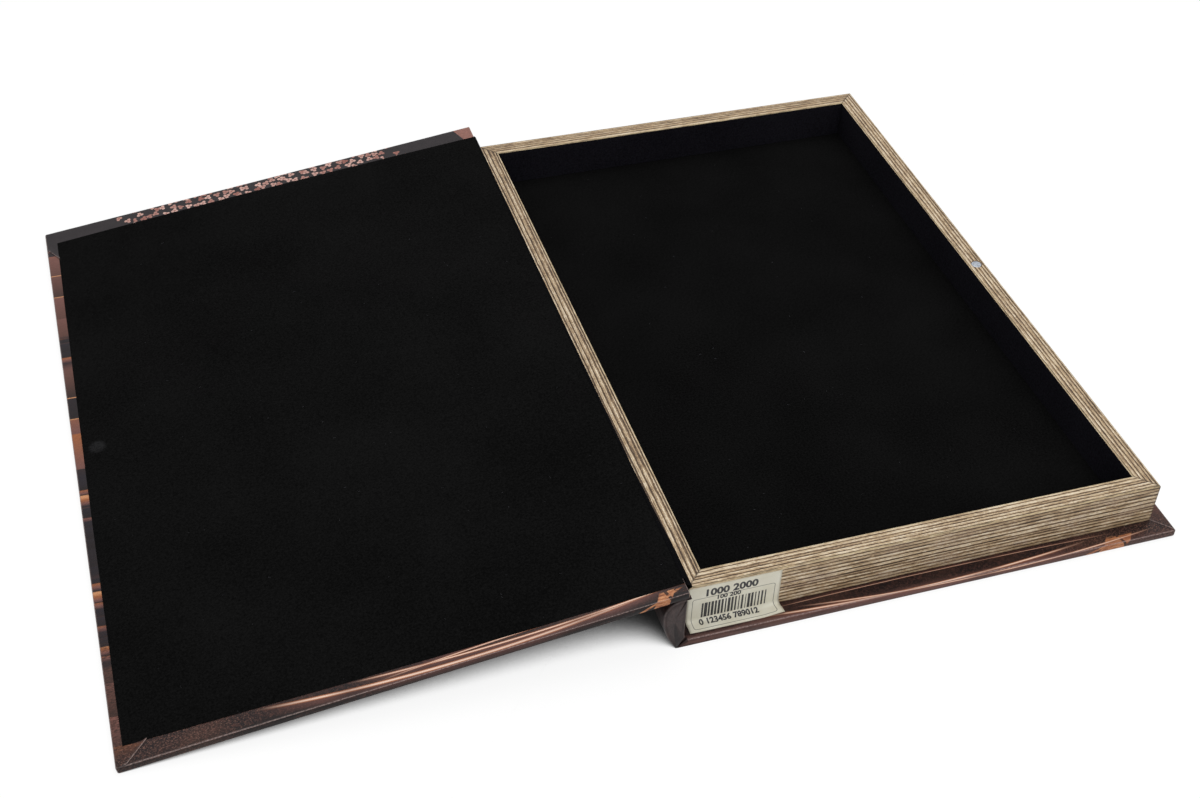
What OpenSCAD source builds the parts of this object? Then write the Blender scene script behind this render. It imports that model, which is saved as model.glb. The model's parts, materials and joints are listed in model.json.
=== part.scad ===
// Book box: a shallow tray of four mitred walls stands on a covered back board. A rounded
// spine strip runs along its left side, and a covered front board hinges on that spine.
// The front board is modelled thrown open, lying on the spine with its far edge on the table.
// Origin: centre of the tray's plan, on the table. X runs from the spine to the fore edge,
// Y from tail to head, Z up. Sizes are in millimetres.

/* [Tray] */
// outer length of the tray walls, along the hinge
tray_length = 314; // [180:1:420]
// outer width of the tray walls, from the hinge side to the fore edge
tray_width = 206; // [120:1:300]
// height of the tray walls above the covered back board
wall_height = 19.6; // [19:0.2:60]
// thickness of each tray wall
wall_t = 8; // [6.5:0.5:12]

/* [Boards] */
// thickness of the bare front and back boards
board_t = 3; // [2.6:0.1:5]
// reach of both boards past the tray at head and tail
end_overhang = 8.5; // [7:0.5:15]
// reach of both boards past the fore edge wall
fore_overhang = 8; // [6:0.5:15]
// radius of the covered boards' outer edges
edge_r = 0.8; // [0.6:0.1:1.2]

/* [Covering] */
// thickness of the printed covering
skin_t = 0.25; // [0.15:0.05:0.5]
// reach of the back board's turned-in covering under the tray walls
seat_turn_in = 4.5; // [2:0.5:5.5]
// width of the mitred slit where two turned-in edges meet at a corner
fold_gap = 0.2; // [0.1:0.05:0.4]

/* [Page foil] */
// thickness of the streaked foil round the tray walls
foil_t = 0.2; // [0.1:0.05:0.4]

/* [Felt and card] */
// thickness of the felt
felt_t = 0.3; // [0.2:0.05:0.6]
// thickness of the card under the floor felt
card_t = 1; // [0.5:0.1:2]
// play between the floor card and the walls
card_play = 0.2; // [0.1:0.05:0.5]
// drop of the wall linings' top edge below the rim
lining_drop = 0.4; // [0.2:0.1:2]
// bare margin between the front board's felt and its fore edge
fore_margin = 6.5; // [4:0.5:14]
// bare margin between the front board's felt and its tail edge
tail_margin = 5.5; // [4:0.5:14]
// bare margin between the front board's felt and its head edge
head_margin = 10; // [4:0.5:14]
// lap of that felt over the turned-in covering
felt_lap = 9; // [4:0.5:12]

/* [Hinge] */
// distance from the tray's spine wall to the hinge line
joint_gap = 2; // [1.5:0.1:5]
// distance from the hinge line to the front board's edge
edge_gap = 0.3; // [0.2:0.05:0.6]
// distance from the hinge line to the flat side of the spine
spine_gap = 1.3; // [0.8:0.1:3]
// clearance between the opened front board and the top of the spine
spine_clearance = 0.35; // [0.3:0.05:0.8]
// clearance between the closed front board's felt and the rim
rest_gap = 0.2; // [0.1:0.05:0.5]
// thickness of the inner hinge cloth
cloth_t = 0.3; // [0.2:0.05:0.5]
// length of hinge cloth glued down the tray's spine wall
cloth_hold = 10; // [5:1:15]
// gap between the hinge cloth and the board's edge that it passes
cloth_gap = 0.05; // [0.03:0.01:0.2]

/* [Spine] */
// reach of the rounded spine past the hinge line
spine_bulge = 10.2; // [8:0.1:14]
// drop from the hinge line to the widest point of the spine
bulge_drop = 8.6; // [7:0.2:11]
// distance from the widest point in to the tip at the foot of the spine
tip_setback = 5.9; // [4:0.1:6.4]
// width of the small flat along that tip
tip_flat = 0.4; // [0.3:0.1:0.8]
// height of the bevel at the foot of the spine's flat side
bevel_height = 5; // [3:0.2:8]
// gap between the spine's foot and the covering that runs to it
web_gap = 0.2; // [0.1:0.05:0.5]

/* [Magnets] */
// diameter of both disc magnets
magnet_d = 5; // [4:0.5:6]
// length of the magnet let into the rim
rim_magnet_h = 3; // [1:0.5:6]
// length of the magnet let into the front board
cover_magnet_h = 2; // [1:0.25:2.25]
// radial play round each magnet
magnet_play = 0.05; // [0.02:0.01:0.15]

/* [Stock label] */
// width of the paper label
label_width = 38; // [20:1:60]
// length of the paper label, measured round its bend
label_length = 24; // [16:0.5:24]
// length of the label that lies flat on the lip
label_foot = 4; // [2:0.5:4.5]
// radius of the label's bend between wall and lip
label_bend_r = 1.7; // [0.8:0.1:2]
// thickness of the label
label_t = 0.12; // [0.08:0.02:0.3]
// distance of the label from the tray's spine corner
label_inset = 1; // [0.5:0.5:20]

/* [Hidden] */
$fn = 96;

base_top = board_t + 2 * skin_t;
bare_top = board_t + skin_t;
wall_top = base_top + wall_height;
rim_top = wall_top + foil_t;
card_top = bare_top + card_t;
floor_top = card_top + felt_t;
lining_top = rim_top - lining_drop;

spine_face_x = -tray_width / 2;
fore_face_x = tray_width / 2;
end_face_y = tray_length / 2;
hinge_x = spine_face_x - joint_gap;
hinge_z = rim_top + rest_gap + felt_t + base_top;
board_fore_x = fore_face_x + fore_overhang;
board_end_y = end_face_y + end_overhang;
board_length = 2 * board_end_y;
bare_end_y = board_end_y - skin_t;
bare_edge_r = edge_r - skin_t;
board_reach = board_fore_x - hinge_x;
felt_reach = board_reach - fore_margin;
pocket_reach = felt_reach - felt_lap;

// the open front board rests on the table with the rounding of its far lower edge
round_reach = board_reach - edge_r;
open_tilt = asin((hinge_z - edge_r) / norm([round_reach, edge_r])) + atan2(edge_r, round_reach);
open_turn = 180 + open_tilt;

// spine outline: a lower flank, a rounder shoulder and a top plane under the open board
widest_x = hinge_x - spine_bulge;
widest_z = hinge_z - bulge_drop;
tip_x = widest_x + tip_setback;
flat_x = hinge_x - spine_gap;
flank_r = (pow(tip_setback, 2) + pow(widest_z, 2)) / (2 * tip_setback);
top_at_widest = hinge_z - spine_clearance / cos(open_tilt) - spine_bulge * tan(open_tilt);
shoulder_r = (top_at_widest - widest_z) * cos(open_tilt) / (1 - sin(open_tilt));
bevel_x = tip_x + tip_flat;

// reach of cutting shapes past what they cut
far = 2 * (board_length + board_reach);
over = 1;
slit_depth = over + skin_t + fold_gap;

// covering folded back on itself at the hinge line, seen square to the open board
fold_outer_r = spine_clearance / 2 + skin_t;
fold_inner_r = spine_clearance / 2;
fold_mid = -spine_clearance / 2;

// hinge cloth: down the board's edge, a slack belly, then down the spine wall
glue_t = 0.025;
cloth_edge = -edge_gap + cloth_gap + cloth_t / 2;
// height on the board's edge at which the cloth leaves it
cloth_leave = 2.4;
// pull of the belly away from the edge, and its rise above the hold on the wall
cloth_belly = [1.5, -1.1];
cloth_rise = 3.1;
// drop below the rim at which the wall holds the cloth
cloth_drop = 0.8;
cloth_wall_x = spine_face_x - foil_t - cloth_t / 2 - glue_t;
cloth_wall_z = rim_top - cloth_drop;
cloth_steps = 12;

magnet_y = wall_t / 2;
magnet_reach = fore_face_x - magnet_y - hinge_x;
label_leg = label_length - label_foot - label_bend_r * PI / 2;

// Places a piece of one tray side: local X along the wall, local Y inwards from its outer face.
module on_side(turn, distance) {
    rotate([0, 0, turn])
        translate([0, -distance, 0])
            children();
}

module on_tail() {
    on_side(0, end_face_y) children();
}

module on_head() {
    on_side(180, end_face_y) children();
}

module on_fore_edge() {
    on_side(90, fore_face_x) children();
}

module on_spine_side() {
    on_side(-90, fore_face_x) children();
}

// A bar whose two ends are mitred to the corners of the tray.
module mitred_bar(length, y0, y1, z0, z1) {
    translate([0, 0, z0])
        linear_extrude(z1 - z0)
            polygon([[y0 - length / 2, y0], [length / 2 - y0, y0],
                     [length / 2 - y1, y1], [y1 - length / 2, y1]]);
}

// Extrudes a profile drawn in X and Z along the whole hinge direction, centred.
module along_hinge(length) {
    translate([0, length / 2, 0])
        rotate([90, 0, 0])
            linear_extrude(length)
                children();
}

// Extrudes a profile drawn in Y and Z across the hinge direction, from x0 to x1.
module across_hinge(x0, x1) {
    translate([x0, 0, 0])
        rotate([90, 0, 90])
            linear_extrude(x1 - x0)
                children();
}

// Section of a board from x0 to its far edge at x1, with that edge's two corners rounded.
module edge_outline(x0, x1, z0, z1, r) {
    translate([x0, z0]) square([x1 - r - x0, z1 - z0]);
    translate([x0, z0 + r]) square([x1 - x0, z1 - z0 - 2 * r]);
    for (z = [z0 + r, z1 - r])
        translate([x1 - r, z]) circle(r);
}

// The same section along the hinge, rounded at its tail and its head.
module ends_outline(end_y, z0, z1, r) {
    for (side = [0, 1])
        mirror([side, 0])
            edge_outline(-over, end_y, z0, z1, r);
}

// A board rounded on three sides. Children, drawn in X and Z, are added to its section.
module rounded_board(x0, x1, end_y, z0, z1, r) {
    intersection() {
        along_hinge(2 * (end_y + over)) {
            edge_outline(x0, x1, z0, z1, r);
            children();
        }
        across_hinge(-far, far) ends_outline(end_y, z0, z1, r);
    }
}

// Moves a piece drawn on the closed front board to its place on the open one.
// Local X runs from the hinge line to the fore edge, local Z is zero on the outer face.
module on_front_board() {
    translate([hinge_x, 0, hinge_z])
        rotate([0, -open_turn, 0])
            children();
}

// A slit along the fold from a board's corner towards the corner of its turn-in's window.
module corner_slit(run_x, run_y) {
    rotate([0, 0, atan2(run_y, run_x)])
        translate([-fold_gap, -fold_gap / 2, 0])
            cube([norm([run_x, run_y]) + 2 * fold_gap, fold_gap, slit_depth]);
}

// Round pocket or disc at the rim magnet's place, in the fore edge wall's own frame.
module rim_magnet_disc(r, top, height) {
    translate([0, magnet_y, top - height])
        cylinder(r = r, h = height);
}

// Tray walls

module plain_wall(length) {
    mitred_bar(length, 0, wall_t, base_top, wall_top);
}

module tail_wall() {
    color("tan") on_tail() plain_wall(tray_width);
}

module head_wall() {
    color("tan") on_head() plain_wall(tray_width);
}

module fore_edge_wall() {
    color("tan") on_fore_edge()
        difference() {
            plain_wall(tray_length);
            rim_magnet_disc(magnet_d / 2 + magnet_play, rim_top + over, rim_magnet_h + magnet_play + over);
        }
}

module spine_wall() {
    color("tan") on_spine_side() plain_wall(tray_length);
}

// Streaked foil: down the outer face and over the rim of each wall, mitred like the wall

module plain_foil(length) {
    difference() {
        mitred_bar(length, -foil_t, wall_t, base_top, rim_top);
        translate([-length, 0, 0])
            cube([2 * length, wall_t + over, wall_top]);
    }
}

module tail_page_foil() {
    color("burlywood") on_tail() plain_foil(tray_width);
}

module head_page_foil() {
    color("burlywood") on_head() plain_foil(tray_width);
}

module fore_edge_page_foil() {
    color("burlywood") on_fore_edge()
        difference() {
            plain_foil(tray_length);
            rim_magnet_disc(magnet_d / 2 + magnet_play, rim_top + over, rim_magnet_h + over);
        }
}

module spine_page_foil() {
    color("burlywood") on_spine_side() plain_foil(tray_length);
}

module rim_magnet() {
    color("silver") on_fore_edge()
        rim_magnet_disc(magnet_d / 2, rim_top - magnet_play, rim_magnet_h - magnet_play);
}

// Floor and linings

module floor_sheet(play, z0, thickness) {
    size_x = tray_width - 2 * (wall_t + play);
    size_y = tray_length - 2 * (wall_t + play);
    translate([-size_x / 2, -size_y / 2, z0])
        cube([size_x, size_y, thickness]);
}

module floor_card() {
    color("gray") floor_sheet(card_play, bare_top, card_t);
}

module floor_felt() {
    color([0.08, 0.08, 0.09]) floor_sheet(0, card_top, felt_t);
}

module plain_lining(length) {
    mitred_bar(length, wall_t, wall_t + felt_t, floor_top, lining_top);
}

module tail_lining() {
    color([0.1, 0.1, 0.12]) on_tail() plain_lining(tray_width);
}

module head_lining() {
    color([0.1, 0.1, 0.12]) on_head() plain_lining(tray_width);
}

module fore_edge_lining() {
    color([0.1, 0.1, 0.12]) on_fore_edge() plain_lining(tray_length);
}

module spine_lining() {
    color([0.1, 0.1, 0.12]) on_spine_side() plain_lining(tray_length);
}

// Back board and its covering

module back_board() {
    color("peru")
        rounded_board(hinge_x, board_fore_x - skin_t, bare_end_y, skin_t, bare_top, bare_edge_r);
}

// Section of the covering that closes down over the board's spine side to the spine's foot.
module back_web() {
    start_x = bevel_x + web_gap;
    polygon([[start_x, 0], [hinge_x + over, 0], [hinge_x + over, base_top],
             [hinge_x, base_top], [start_x, skin_t]]);
}

module back_skin() {
    window_x = fore_face_x - seat_turn_in;
    window_y = end_face_y - seat_turn_in;
    color([0.25, 0.16, 0.14])
        difference() {
            rounded_board(hinge_x, board_fore_x, board_end_y, 0, base_top, edge_r) back_web();
            back_board();
            translate([-window_x, -window_y, bare_top - fold_gap])
                cube([2 * window_x, 2 * window_y, slit_depth]);
            for (end = [-1, 1])
                translate([board_fore_x, end * board_end_y, bare_top - fold_gap])
                    corner_slit(window_x - board_fore_x, end * (window_y - board_end_y));
        }
}

// Spine

// Outline of the rounded spine, drawn in by an inset on its covered faces only.
module spine_outline(inset) {
    flank = flank_r - inset;
    shoulder = shoulder_r - inset;
    tilt_x = sin(open_tilt);
    centre_x = widest_x + shoulder_r;
    top_flat = top_at_widest - inset / cos(open_tilt) + (flat_x - widest_x) * tan(open_tilt);
    bevel_run = flat_x - bevel_x;
    bevel_in = inset * norm([bevel_run, bevel_height]) / bevel_height;
    union() {
        intersection() {
            translate([widest_x + flank_r, widest_z]) circle(flank);
            polygon([[widest_x - over, inset], [bevel_x - bevel_in, inset],
                     [flat_x - bevel_in, bevel_height], [flat_x - bevel_in, bevel_height + inset],
                     [flat_x, bevel_height + inset], [flat_x, widest_z],
                     [widest_x - over, widest_z]]);
        }
        intersection() {
            union() {
                translate([centre_x, widest_z]) circle(shoulder);
                polygon([[centre_x, widest_z], [flat_x, widest_z], [flat_x, top_flat],
                         [centre_x - shoulder * tilt_x, widest_z + shoulder * cos(open_tilt)]]);
            }
            translate([widest_x - over, widest_z])
                square([flat_x - widest_x + over, far]);
        }
    }
}

module spine_core() {
    color("sienna")
        along_hinge(2 * bare_end_y)
            spine_outline(skin_t);
}

module spine_skin() {
    color([0.13, 0.1, 0.1])
        difference() {
            along_hinge(board_length) spine_outline(0);
            spine_core();
        }
}

// Hinge: covering folded back on itself outside, a slack strip of cloth inside

module joint_skin() {
    color([0.2, 0.13, 0.12])
        along_hinge(board_length)
            difference() {
                translate([hinge_x, hinge_z])
                    rotate(open_tilt)
                        union() {
                            translate([-edge_gap + cloth_gap, 0])
                                square([edge_gap - cloth_gap, skin_t]);
                            translate([-spine_bulge, fold_mid - fold_outer_r])
                                square([spine_bulge, skin_t]);
                            intersection() {
                                translate([0, fold_mid - fold_outer_r])
                                    square(2 * fold_outer_r);
                                translate([0, fold_mid])
                                    difference() {
                                        circle(fold_outer_r);
                                        circle(fold_inner_r);
                                    }
                            }
                        }
                translate([flat_x - far, 0]) square([far, far]);
            }
}

// A point of the open front board's own section, u from the hinge line, w off its outer face.
function open_point(u, w) =
    [hinge_x + u * cos(open_tilt) - w * sin(open_tilt),
     hinge_z + u * sin(open_tilt) + w * cos(open_tilt)];

function curve_point(a, b, c, d, t) =
    pow(1 - t, 3) * a + 3 * pow(1 - t, 2) * t * b + 3 * (1 - t) * pow(t, 2) * c + pow(t, 3) * d;

// Unit vector square to the run from a to b.
function square_to(a, b) = [a[1] - b[1], b[0] - a[0]] / norm(b - a);

function cloth_path() =
    let (top = open_point(cloth_edge, base_top + felt_t),
         leave = open_point(cloth_edge, cloth_leave),
         wall = [cloth_wall_x, cloth_wall_z])
    concat([top],
           [for (i = [0:cloth_steps])
               curve_point(leave, leave + cloth_belly, wall + [0, cloth_rise], wall, i / cloth_steps)],
           [wall - [0, cloth_hold]]);

function path_side(path, half) =
    [for (i = [0:len(path) - 1])
        path[i] + half * square_to(path[max(i - 1, 0)], path[min(i + 1, len(path) - 1)])];

function reversed(list) = [for (i = [len(list) - 1:-1:0]) list[i]];

module joint_cloth() {
    path = cloth_path();
    color([0.06, 0.06, 0.07])
        along_hinge(tray_length)
            polygon(concat(path_side(path, cloth_t / 2), reversed(path_side(path, -cloth_t / 2))));
}

// Front board, drawn closed and swung open

module front_board_core() {
    rounded_board(edge_gap, board_reach - skin_t, bare_end_y, -bare_top, -skin_t, bare_edge_r);
}

module cover_magnet_disc(r, height) {
    translate([magnet_reach, 0, -bare_top])
        cylinder(r = r, h = height);
}

module front_board() {
    color("peru") on_front_board()
        difference() {
            front_board_core();
            translate([0, 0, -over])
                cover_magnet_disc(magnet_d / 2 + magnet_play, cover_magnet_h + magnet_play + over);
        }
}

// Plan of the window that the turned-in covering leaves, grown towards its edges.
module window_box(grow, z0, thickness) {
    y0 = tail_margin + felt_lap - grow;
    y1 = head_margin + felt_lap - grow;
    translate([edge_gap, y0 - board_end_y, z0])
        cube([pocket_reach + grow - edge_gap, board_length - y0 - y1, thickness]);
}

module front_skin() {
    color([0.28, 0.18, 0.15]) on_front_board()
        difference() {
            rounded_board(edge_gap, board_reach, board_end_y, -base_top, 0, edge_r);
            front_board_core();
            window_box(0, -base_top - over, slit_depth);
            translate([board_reach, -board_end_y, -base_top - over])
                corner_slit(pocket_reach - board_reach, tail_margin + felt_lap);
            translate([board_reach, board_end_y, -base_top - over])
                corner_slit(pocket_reach - board_reach, -head_margin - felt_lap);
        }
}

module cover_felt() {
    color([0.07, 0.07, 0.08]) on_front_board()
        union() {
            window_box(0, -base_top, skin_t);
            window_box(felt_lap, -base_top - felt_t, felt_t);
        }
}

module cover_magnet() {
    color("silver") on_front_board()
        cover_magnet_disc(magnet_d / 2, cover_magnet_h);
}

// Stock label, bent from the tail wall onto the lip

module label_section() {
    square_foot = [label_foot, label_t];
    leg_z = label_bend_r;
    translate([-label_bend_r - label_foot, 0]) square(square_foot);
    translate([-label_t, leg_z]) square([label_t, label_leg]);
    intersection() {
        translate([-label_bend_r, 0]) square(label_bend_r);
        translate([-label_bend_r, label_bend_r])
            difference() {
                circle(label_bend_r);
                circle(label_bend_r - label_t);
            }
    }
}

module stock_label() {
    color("ivory")
        translate([spine_face_x + label_inset, -end_face_y - foil_t, base_top])
            rotate([90, 0, 90])
                linear_extrude(label_width)
                    label_section();
}

back_board();
back_skin();
spine_core();
spine_skin();
tail_wall();
head_wall();
fore_edge_wall();
spine_wall();
tail_page_foil();
head_page_foil();
fore_edge_page_foil();
spine_page_foil();
floor_card();
floor_felt();
tail_lining();
head_lining();
fore_edge_lining();
spine_lining();
rim_magnet();
stock_label();
joint_skin();
joint_cloth();
front_board();
front_skin();
cover_felt();
cover_magnet();
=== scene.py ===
"""Book box, thrown open: a shallow felt-lined tray dressed as a block of pages, a rounded spine
on its left, and a covered front board that lies open on that spine.

Lengths in the dataclasses are millimetres. Meshes are in metres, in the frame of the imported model.
"""

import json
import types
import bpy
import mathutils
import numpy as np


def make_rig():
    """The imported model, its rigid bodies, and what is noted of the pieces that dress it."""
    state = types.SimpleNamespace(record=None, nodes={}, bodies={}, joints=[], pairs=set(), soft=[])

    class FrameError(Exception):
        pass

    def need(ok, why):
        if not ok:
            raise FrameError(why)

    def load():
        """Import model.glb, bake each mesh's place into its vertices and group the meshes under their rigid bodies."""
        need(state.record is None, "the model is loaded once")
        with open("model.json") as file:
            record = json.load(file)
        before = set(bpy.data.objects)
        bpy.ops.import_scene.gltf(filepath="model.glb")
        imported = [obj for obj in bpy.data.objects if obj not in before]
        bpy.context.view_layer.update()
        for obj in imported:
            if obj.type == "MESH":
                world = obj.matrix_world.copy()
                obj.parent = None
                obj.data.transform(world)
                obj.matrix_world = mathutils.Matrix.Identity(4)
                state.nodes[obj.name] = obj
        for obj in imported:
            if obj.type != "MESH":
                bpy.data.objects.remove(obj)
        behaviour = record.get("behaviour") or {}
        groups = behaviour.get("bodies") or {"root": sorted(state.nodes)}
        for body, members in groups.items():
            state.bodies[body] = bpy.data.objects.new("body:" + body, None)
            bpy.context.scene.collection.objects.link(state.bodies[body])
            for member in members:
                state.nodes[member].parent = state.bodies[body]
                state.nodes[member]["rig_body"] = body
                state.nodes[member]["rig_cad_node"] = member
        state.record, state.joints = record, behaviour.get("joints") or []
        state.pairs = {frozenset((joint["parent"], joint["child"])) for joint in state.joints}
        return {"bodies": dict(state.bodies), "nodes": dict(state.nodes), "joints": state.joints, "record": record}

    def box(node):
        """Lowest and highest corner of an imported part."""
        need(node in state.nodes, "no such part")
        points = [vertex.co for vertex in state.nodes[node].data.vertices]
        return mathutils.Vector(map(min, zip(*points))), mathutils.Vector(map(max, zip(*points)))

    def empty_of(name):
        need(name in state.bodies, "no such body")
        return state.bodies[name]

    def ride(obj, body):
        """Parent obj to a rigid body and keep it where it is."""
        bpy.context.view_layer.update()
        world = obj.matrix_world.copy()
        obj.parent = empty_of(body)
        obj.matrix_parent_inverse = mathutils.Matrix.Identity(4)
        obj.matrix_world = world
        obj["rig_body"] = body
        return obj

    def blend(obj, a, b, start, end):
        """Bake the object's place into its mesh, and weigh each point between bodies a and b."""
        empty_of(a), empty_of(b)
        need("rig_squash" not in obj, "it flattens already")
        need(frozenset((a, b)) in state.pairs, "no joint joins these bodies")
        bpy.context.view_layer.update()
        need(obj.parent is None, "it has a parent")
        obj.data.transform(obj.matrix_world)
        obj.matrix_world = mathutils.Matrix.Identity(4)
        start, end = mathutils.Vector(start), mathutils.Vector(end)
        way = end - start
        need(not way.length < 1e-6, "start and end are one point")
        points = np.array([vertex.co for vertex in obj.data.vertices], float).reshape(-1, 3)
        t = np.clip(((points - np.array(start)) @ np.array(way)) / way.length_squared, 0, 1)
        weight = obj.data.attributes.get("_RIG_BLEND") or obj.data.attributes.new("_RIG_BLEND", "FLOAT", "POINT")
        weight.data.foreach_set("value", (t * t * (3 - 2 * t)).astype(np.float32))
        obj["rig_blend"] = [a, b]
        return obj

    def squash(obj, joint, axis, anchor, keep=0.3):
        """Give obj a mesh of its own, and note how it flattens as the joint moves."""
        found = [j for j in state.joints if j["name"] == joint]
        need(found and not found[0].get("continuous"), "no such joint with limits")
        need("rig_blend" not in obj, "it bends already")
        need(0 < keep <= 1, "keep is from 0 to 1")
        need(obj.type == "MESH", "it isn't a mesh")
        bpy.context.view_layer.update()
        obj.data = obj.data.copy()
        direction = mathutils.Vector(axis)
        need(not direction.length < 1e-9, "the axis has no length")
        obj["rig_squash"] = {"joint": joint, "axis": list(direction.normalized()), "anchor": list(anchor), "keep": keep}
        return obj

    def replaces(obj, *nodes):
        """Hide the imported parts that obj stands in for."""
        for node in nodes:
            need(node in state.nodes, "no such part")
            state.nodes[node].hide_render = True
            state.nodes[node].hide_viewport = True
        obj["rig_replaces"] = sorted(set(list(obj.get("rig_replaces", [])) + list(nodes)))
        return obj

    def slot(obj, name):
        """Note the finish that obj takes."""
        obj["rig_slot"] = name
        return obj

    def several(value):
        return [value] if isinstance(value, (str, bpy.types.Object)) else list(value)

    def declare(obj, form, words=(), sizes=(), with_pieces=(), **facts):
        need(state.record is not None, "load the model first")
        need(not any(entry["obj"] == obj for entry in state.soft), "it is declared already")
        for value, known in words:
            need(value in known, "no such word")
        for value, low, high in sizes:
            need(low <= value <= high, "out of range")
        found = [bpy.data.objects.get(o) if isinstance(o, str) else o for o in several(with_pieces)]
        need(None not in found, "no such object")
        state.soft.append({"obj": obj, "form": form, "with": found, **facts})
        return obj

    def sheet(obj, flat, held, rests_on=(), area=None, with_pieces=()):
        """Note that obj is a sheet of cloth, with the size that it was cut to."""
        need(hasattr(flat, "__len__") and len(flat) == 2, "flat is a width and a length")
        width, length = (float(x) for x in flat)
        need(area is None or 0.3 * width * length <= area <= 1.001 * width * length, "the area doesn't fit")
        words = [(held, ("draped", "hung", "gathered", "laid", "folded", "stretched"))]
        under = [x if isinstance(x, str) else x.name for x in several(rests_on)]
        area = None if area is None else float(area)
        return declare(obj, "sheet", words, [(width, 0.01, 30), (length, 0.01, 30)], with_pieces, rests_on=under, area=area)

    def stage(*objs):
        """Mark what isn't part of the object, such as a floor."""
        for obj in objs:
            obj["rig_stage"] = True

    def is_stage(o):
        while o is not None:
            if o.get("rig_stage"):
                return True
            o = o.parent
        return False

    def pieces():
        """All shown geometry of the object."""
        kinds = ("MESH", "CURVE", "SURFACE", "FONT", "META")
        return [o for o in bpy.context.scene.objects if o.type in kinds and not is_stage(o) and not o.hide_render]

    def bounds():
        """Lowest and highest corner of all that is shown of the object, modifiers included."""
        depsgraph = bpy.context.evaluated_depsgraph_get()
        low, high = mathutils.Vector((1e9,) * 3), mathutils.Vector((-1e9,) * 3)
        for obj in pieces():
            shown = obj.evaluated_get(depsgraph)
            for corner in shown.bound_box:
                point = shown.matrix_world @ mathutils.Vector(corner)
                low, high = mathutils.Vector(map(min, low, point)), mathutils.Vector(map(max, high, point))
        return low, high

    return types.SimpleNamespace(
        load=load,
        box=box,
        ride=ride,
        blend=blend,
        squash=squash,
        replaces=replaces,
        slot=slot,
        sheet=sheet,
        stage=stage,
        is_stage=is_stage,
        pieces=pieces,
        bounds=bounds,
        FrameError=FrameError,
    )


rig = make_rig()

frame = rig.load()
CAD_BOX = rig.bounds()

import json
import logging
import math
from dataclasses import dataclass, field
from enum import Enum
from functools import cached_property, reduce
from itertools import accumulate
from typing import Callable, Iterator, Sequence

import bmesh
import bpy
from bpy.types import ID, Material, Mesh, Node, NodeSocket, NodeTree, Object
from mathutils import Matrix, Vector, noise

LOG = logging.getLogger("book_box")
MM = 0.001
# Names of the sheet place and of two point marks: scuffing that the finishes also show as a painted highlight, and
# painted shade in crevices, corners and beside folds.
SHEET, WEAR_AND_HIGHLIGHT, CREASE_SHADE = "Sheet", "Wear", "Crease"

Colour = str
Place = tuple[float, float, float]
Spot = tuple[float, float]
Rows = Sequence[Sequence[Vector]]
Spots = Sequence[Sequence[Spot]]
Points = list[list[bmesh.types.BMVert]]
Relief = Callable[[float, float], float]


class Body(Enum):
    """The two bodies that pieces ride on."""

    CASE = "case"
    COVER = "front_cover"


class Slot(Enum):
    """Material slots of the record."""

    PRINT = "printed_covering"
    PLAIN = "dark_covering"
    FOIL = "page_foil"
    FELT = "black_felt"
    CLOTH = "hinge_cloth"
    NICKEL = "nickel"
    PAPER = "label_paper"


class Flap(Enum):
    """The part of a board's covering that a face belongs to."""

    OUTER = 0
    FORE = 1
    TAIL = 2
    HEAD = 3
    HINGE = 4


class Side(Enum):
    """Tray sides: first word of the node names, turn about Z in degrees, and whether along the hinge."""

    TAIL = ("tail", 0, False)
    HEAD = ("head", 180, False)
    FORE = ("fore_edge", 90, True)
    SPINE = ("spine", -90, True)

    def __init__(self, label: str, degrees: float, is_long: bool) -> None:
        """Keeps the side's facts, with the turn in radians."""
        self.label, self.turn, self.is_long = label, math.radians(degrees), is_long
        self.cos, self.sin = math.cos(self.turn), math.sin(self.turn)


def tint(code: Colour) -> tuple[float, ...]:
    """Linear colour of an sRGB colour written in six hex digits."""
    parts = [int(code[i:i + 2], 16) / 255 for i in (0, 2, 4)]
    return tuple(p / 12.92 if p <= 0.04045 else ((p + 0.055) / 1.055) ** 2.4 for p in parts)


def eased(value: float, low: float, high: float) -> float:
    """Smooth step of value from 0 at low to 1 at high."""
    share = min(max((value - low) / (high - low), 0.0), 1.0)
    return share * share * (3 - 2 * share)


def spread(low: float, high: float, step: float) -> list[float]:
    """Even stations from low to high, no further apart than step."""
    count = max(1, math.ceil(abs(high - low) / step - 1e-9))
    return [low + (high - low) * i / count for i in range(count + 1)]


def arc(centre: Spot, radius: float, start: float, end: float, steps: int) -> list[Spot]:
    """Points of an arc from a start to an end angle in degrees, cut into steps."""
    angles = [math.radians(start + (end - start) * i / steps) for i in range(steps + 1)]
    return [(centre[0] + radius * math.cos(a), centre[1] + radius * math.sin(a)) for a in angles]


def lengths(path: Sequence[Spot]) -> list[float]:
    """Distance along an open path at each of its points."""
    return [0.0, *accumulate(math.dist(*pair) for pair in zip(path, path[1:]))]


def squares(befores: Sequence[Spot], afters: Sequence[Spot]) -> list[Spot]:
    """Unit vectors square to the lines from some points to others, on their right."""
    lines = [(*before, *after, math.dist(before, after)) for before, after in zip(befores, afters)]
    return [((z1 - z0) / run, (x0 - x1) / run) for x0, z0, x1, z1, run in lines]


def ripple(x: float, y: float, size: float, seed: float) -> float:
    """Smooth noise from about -1 to 1 at a place, with waves of a size; the seed picks a pattern."""
    return noise.noise(Vector((x / size, y / size, seed)))


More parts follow.
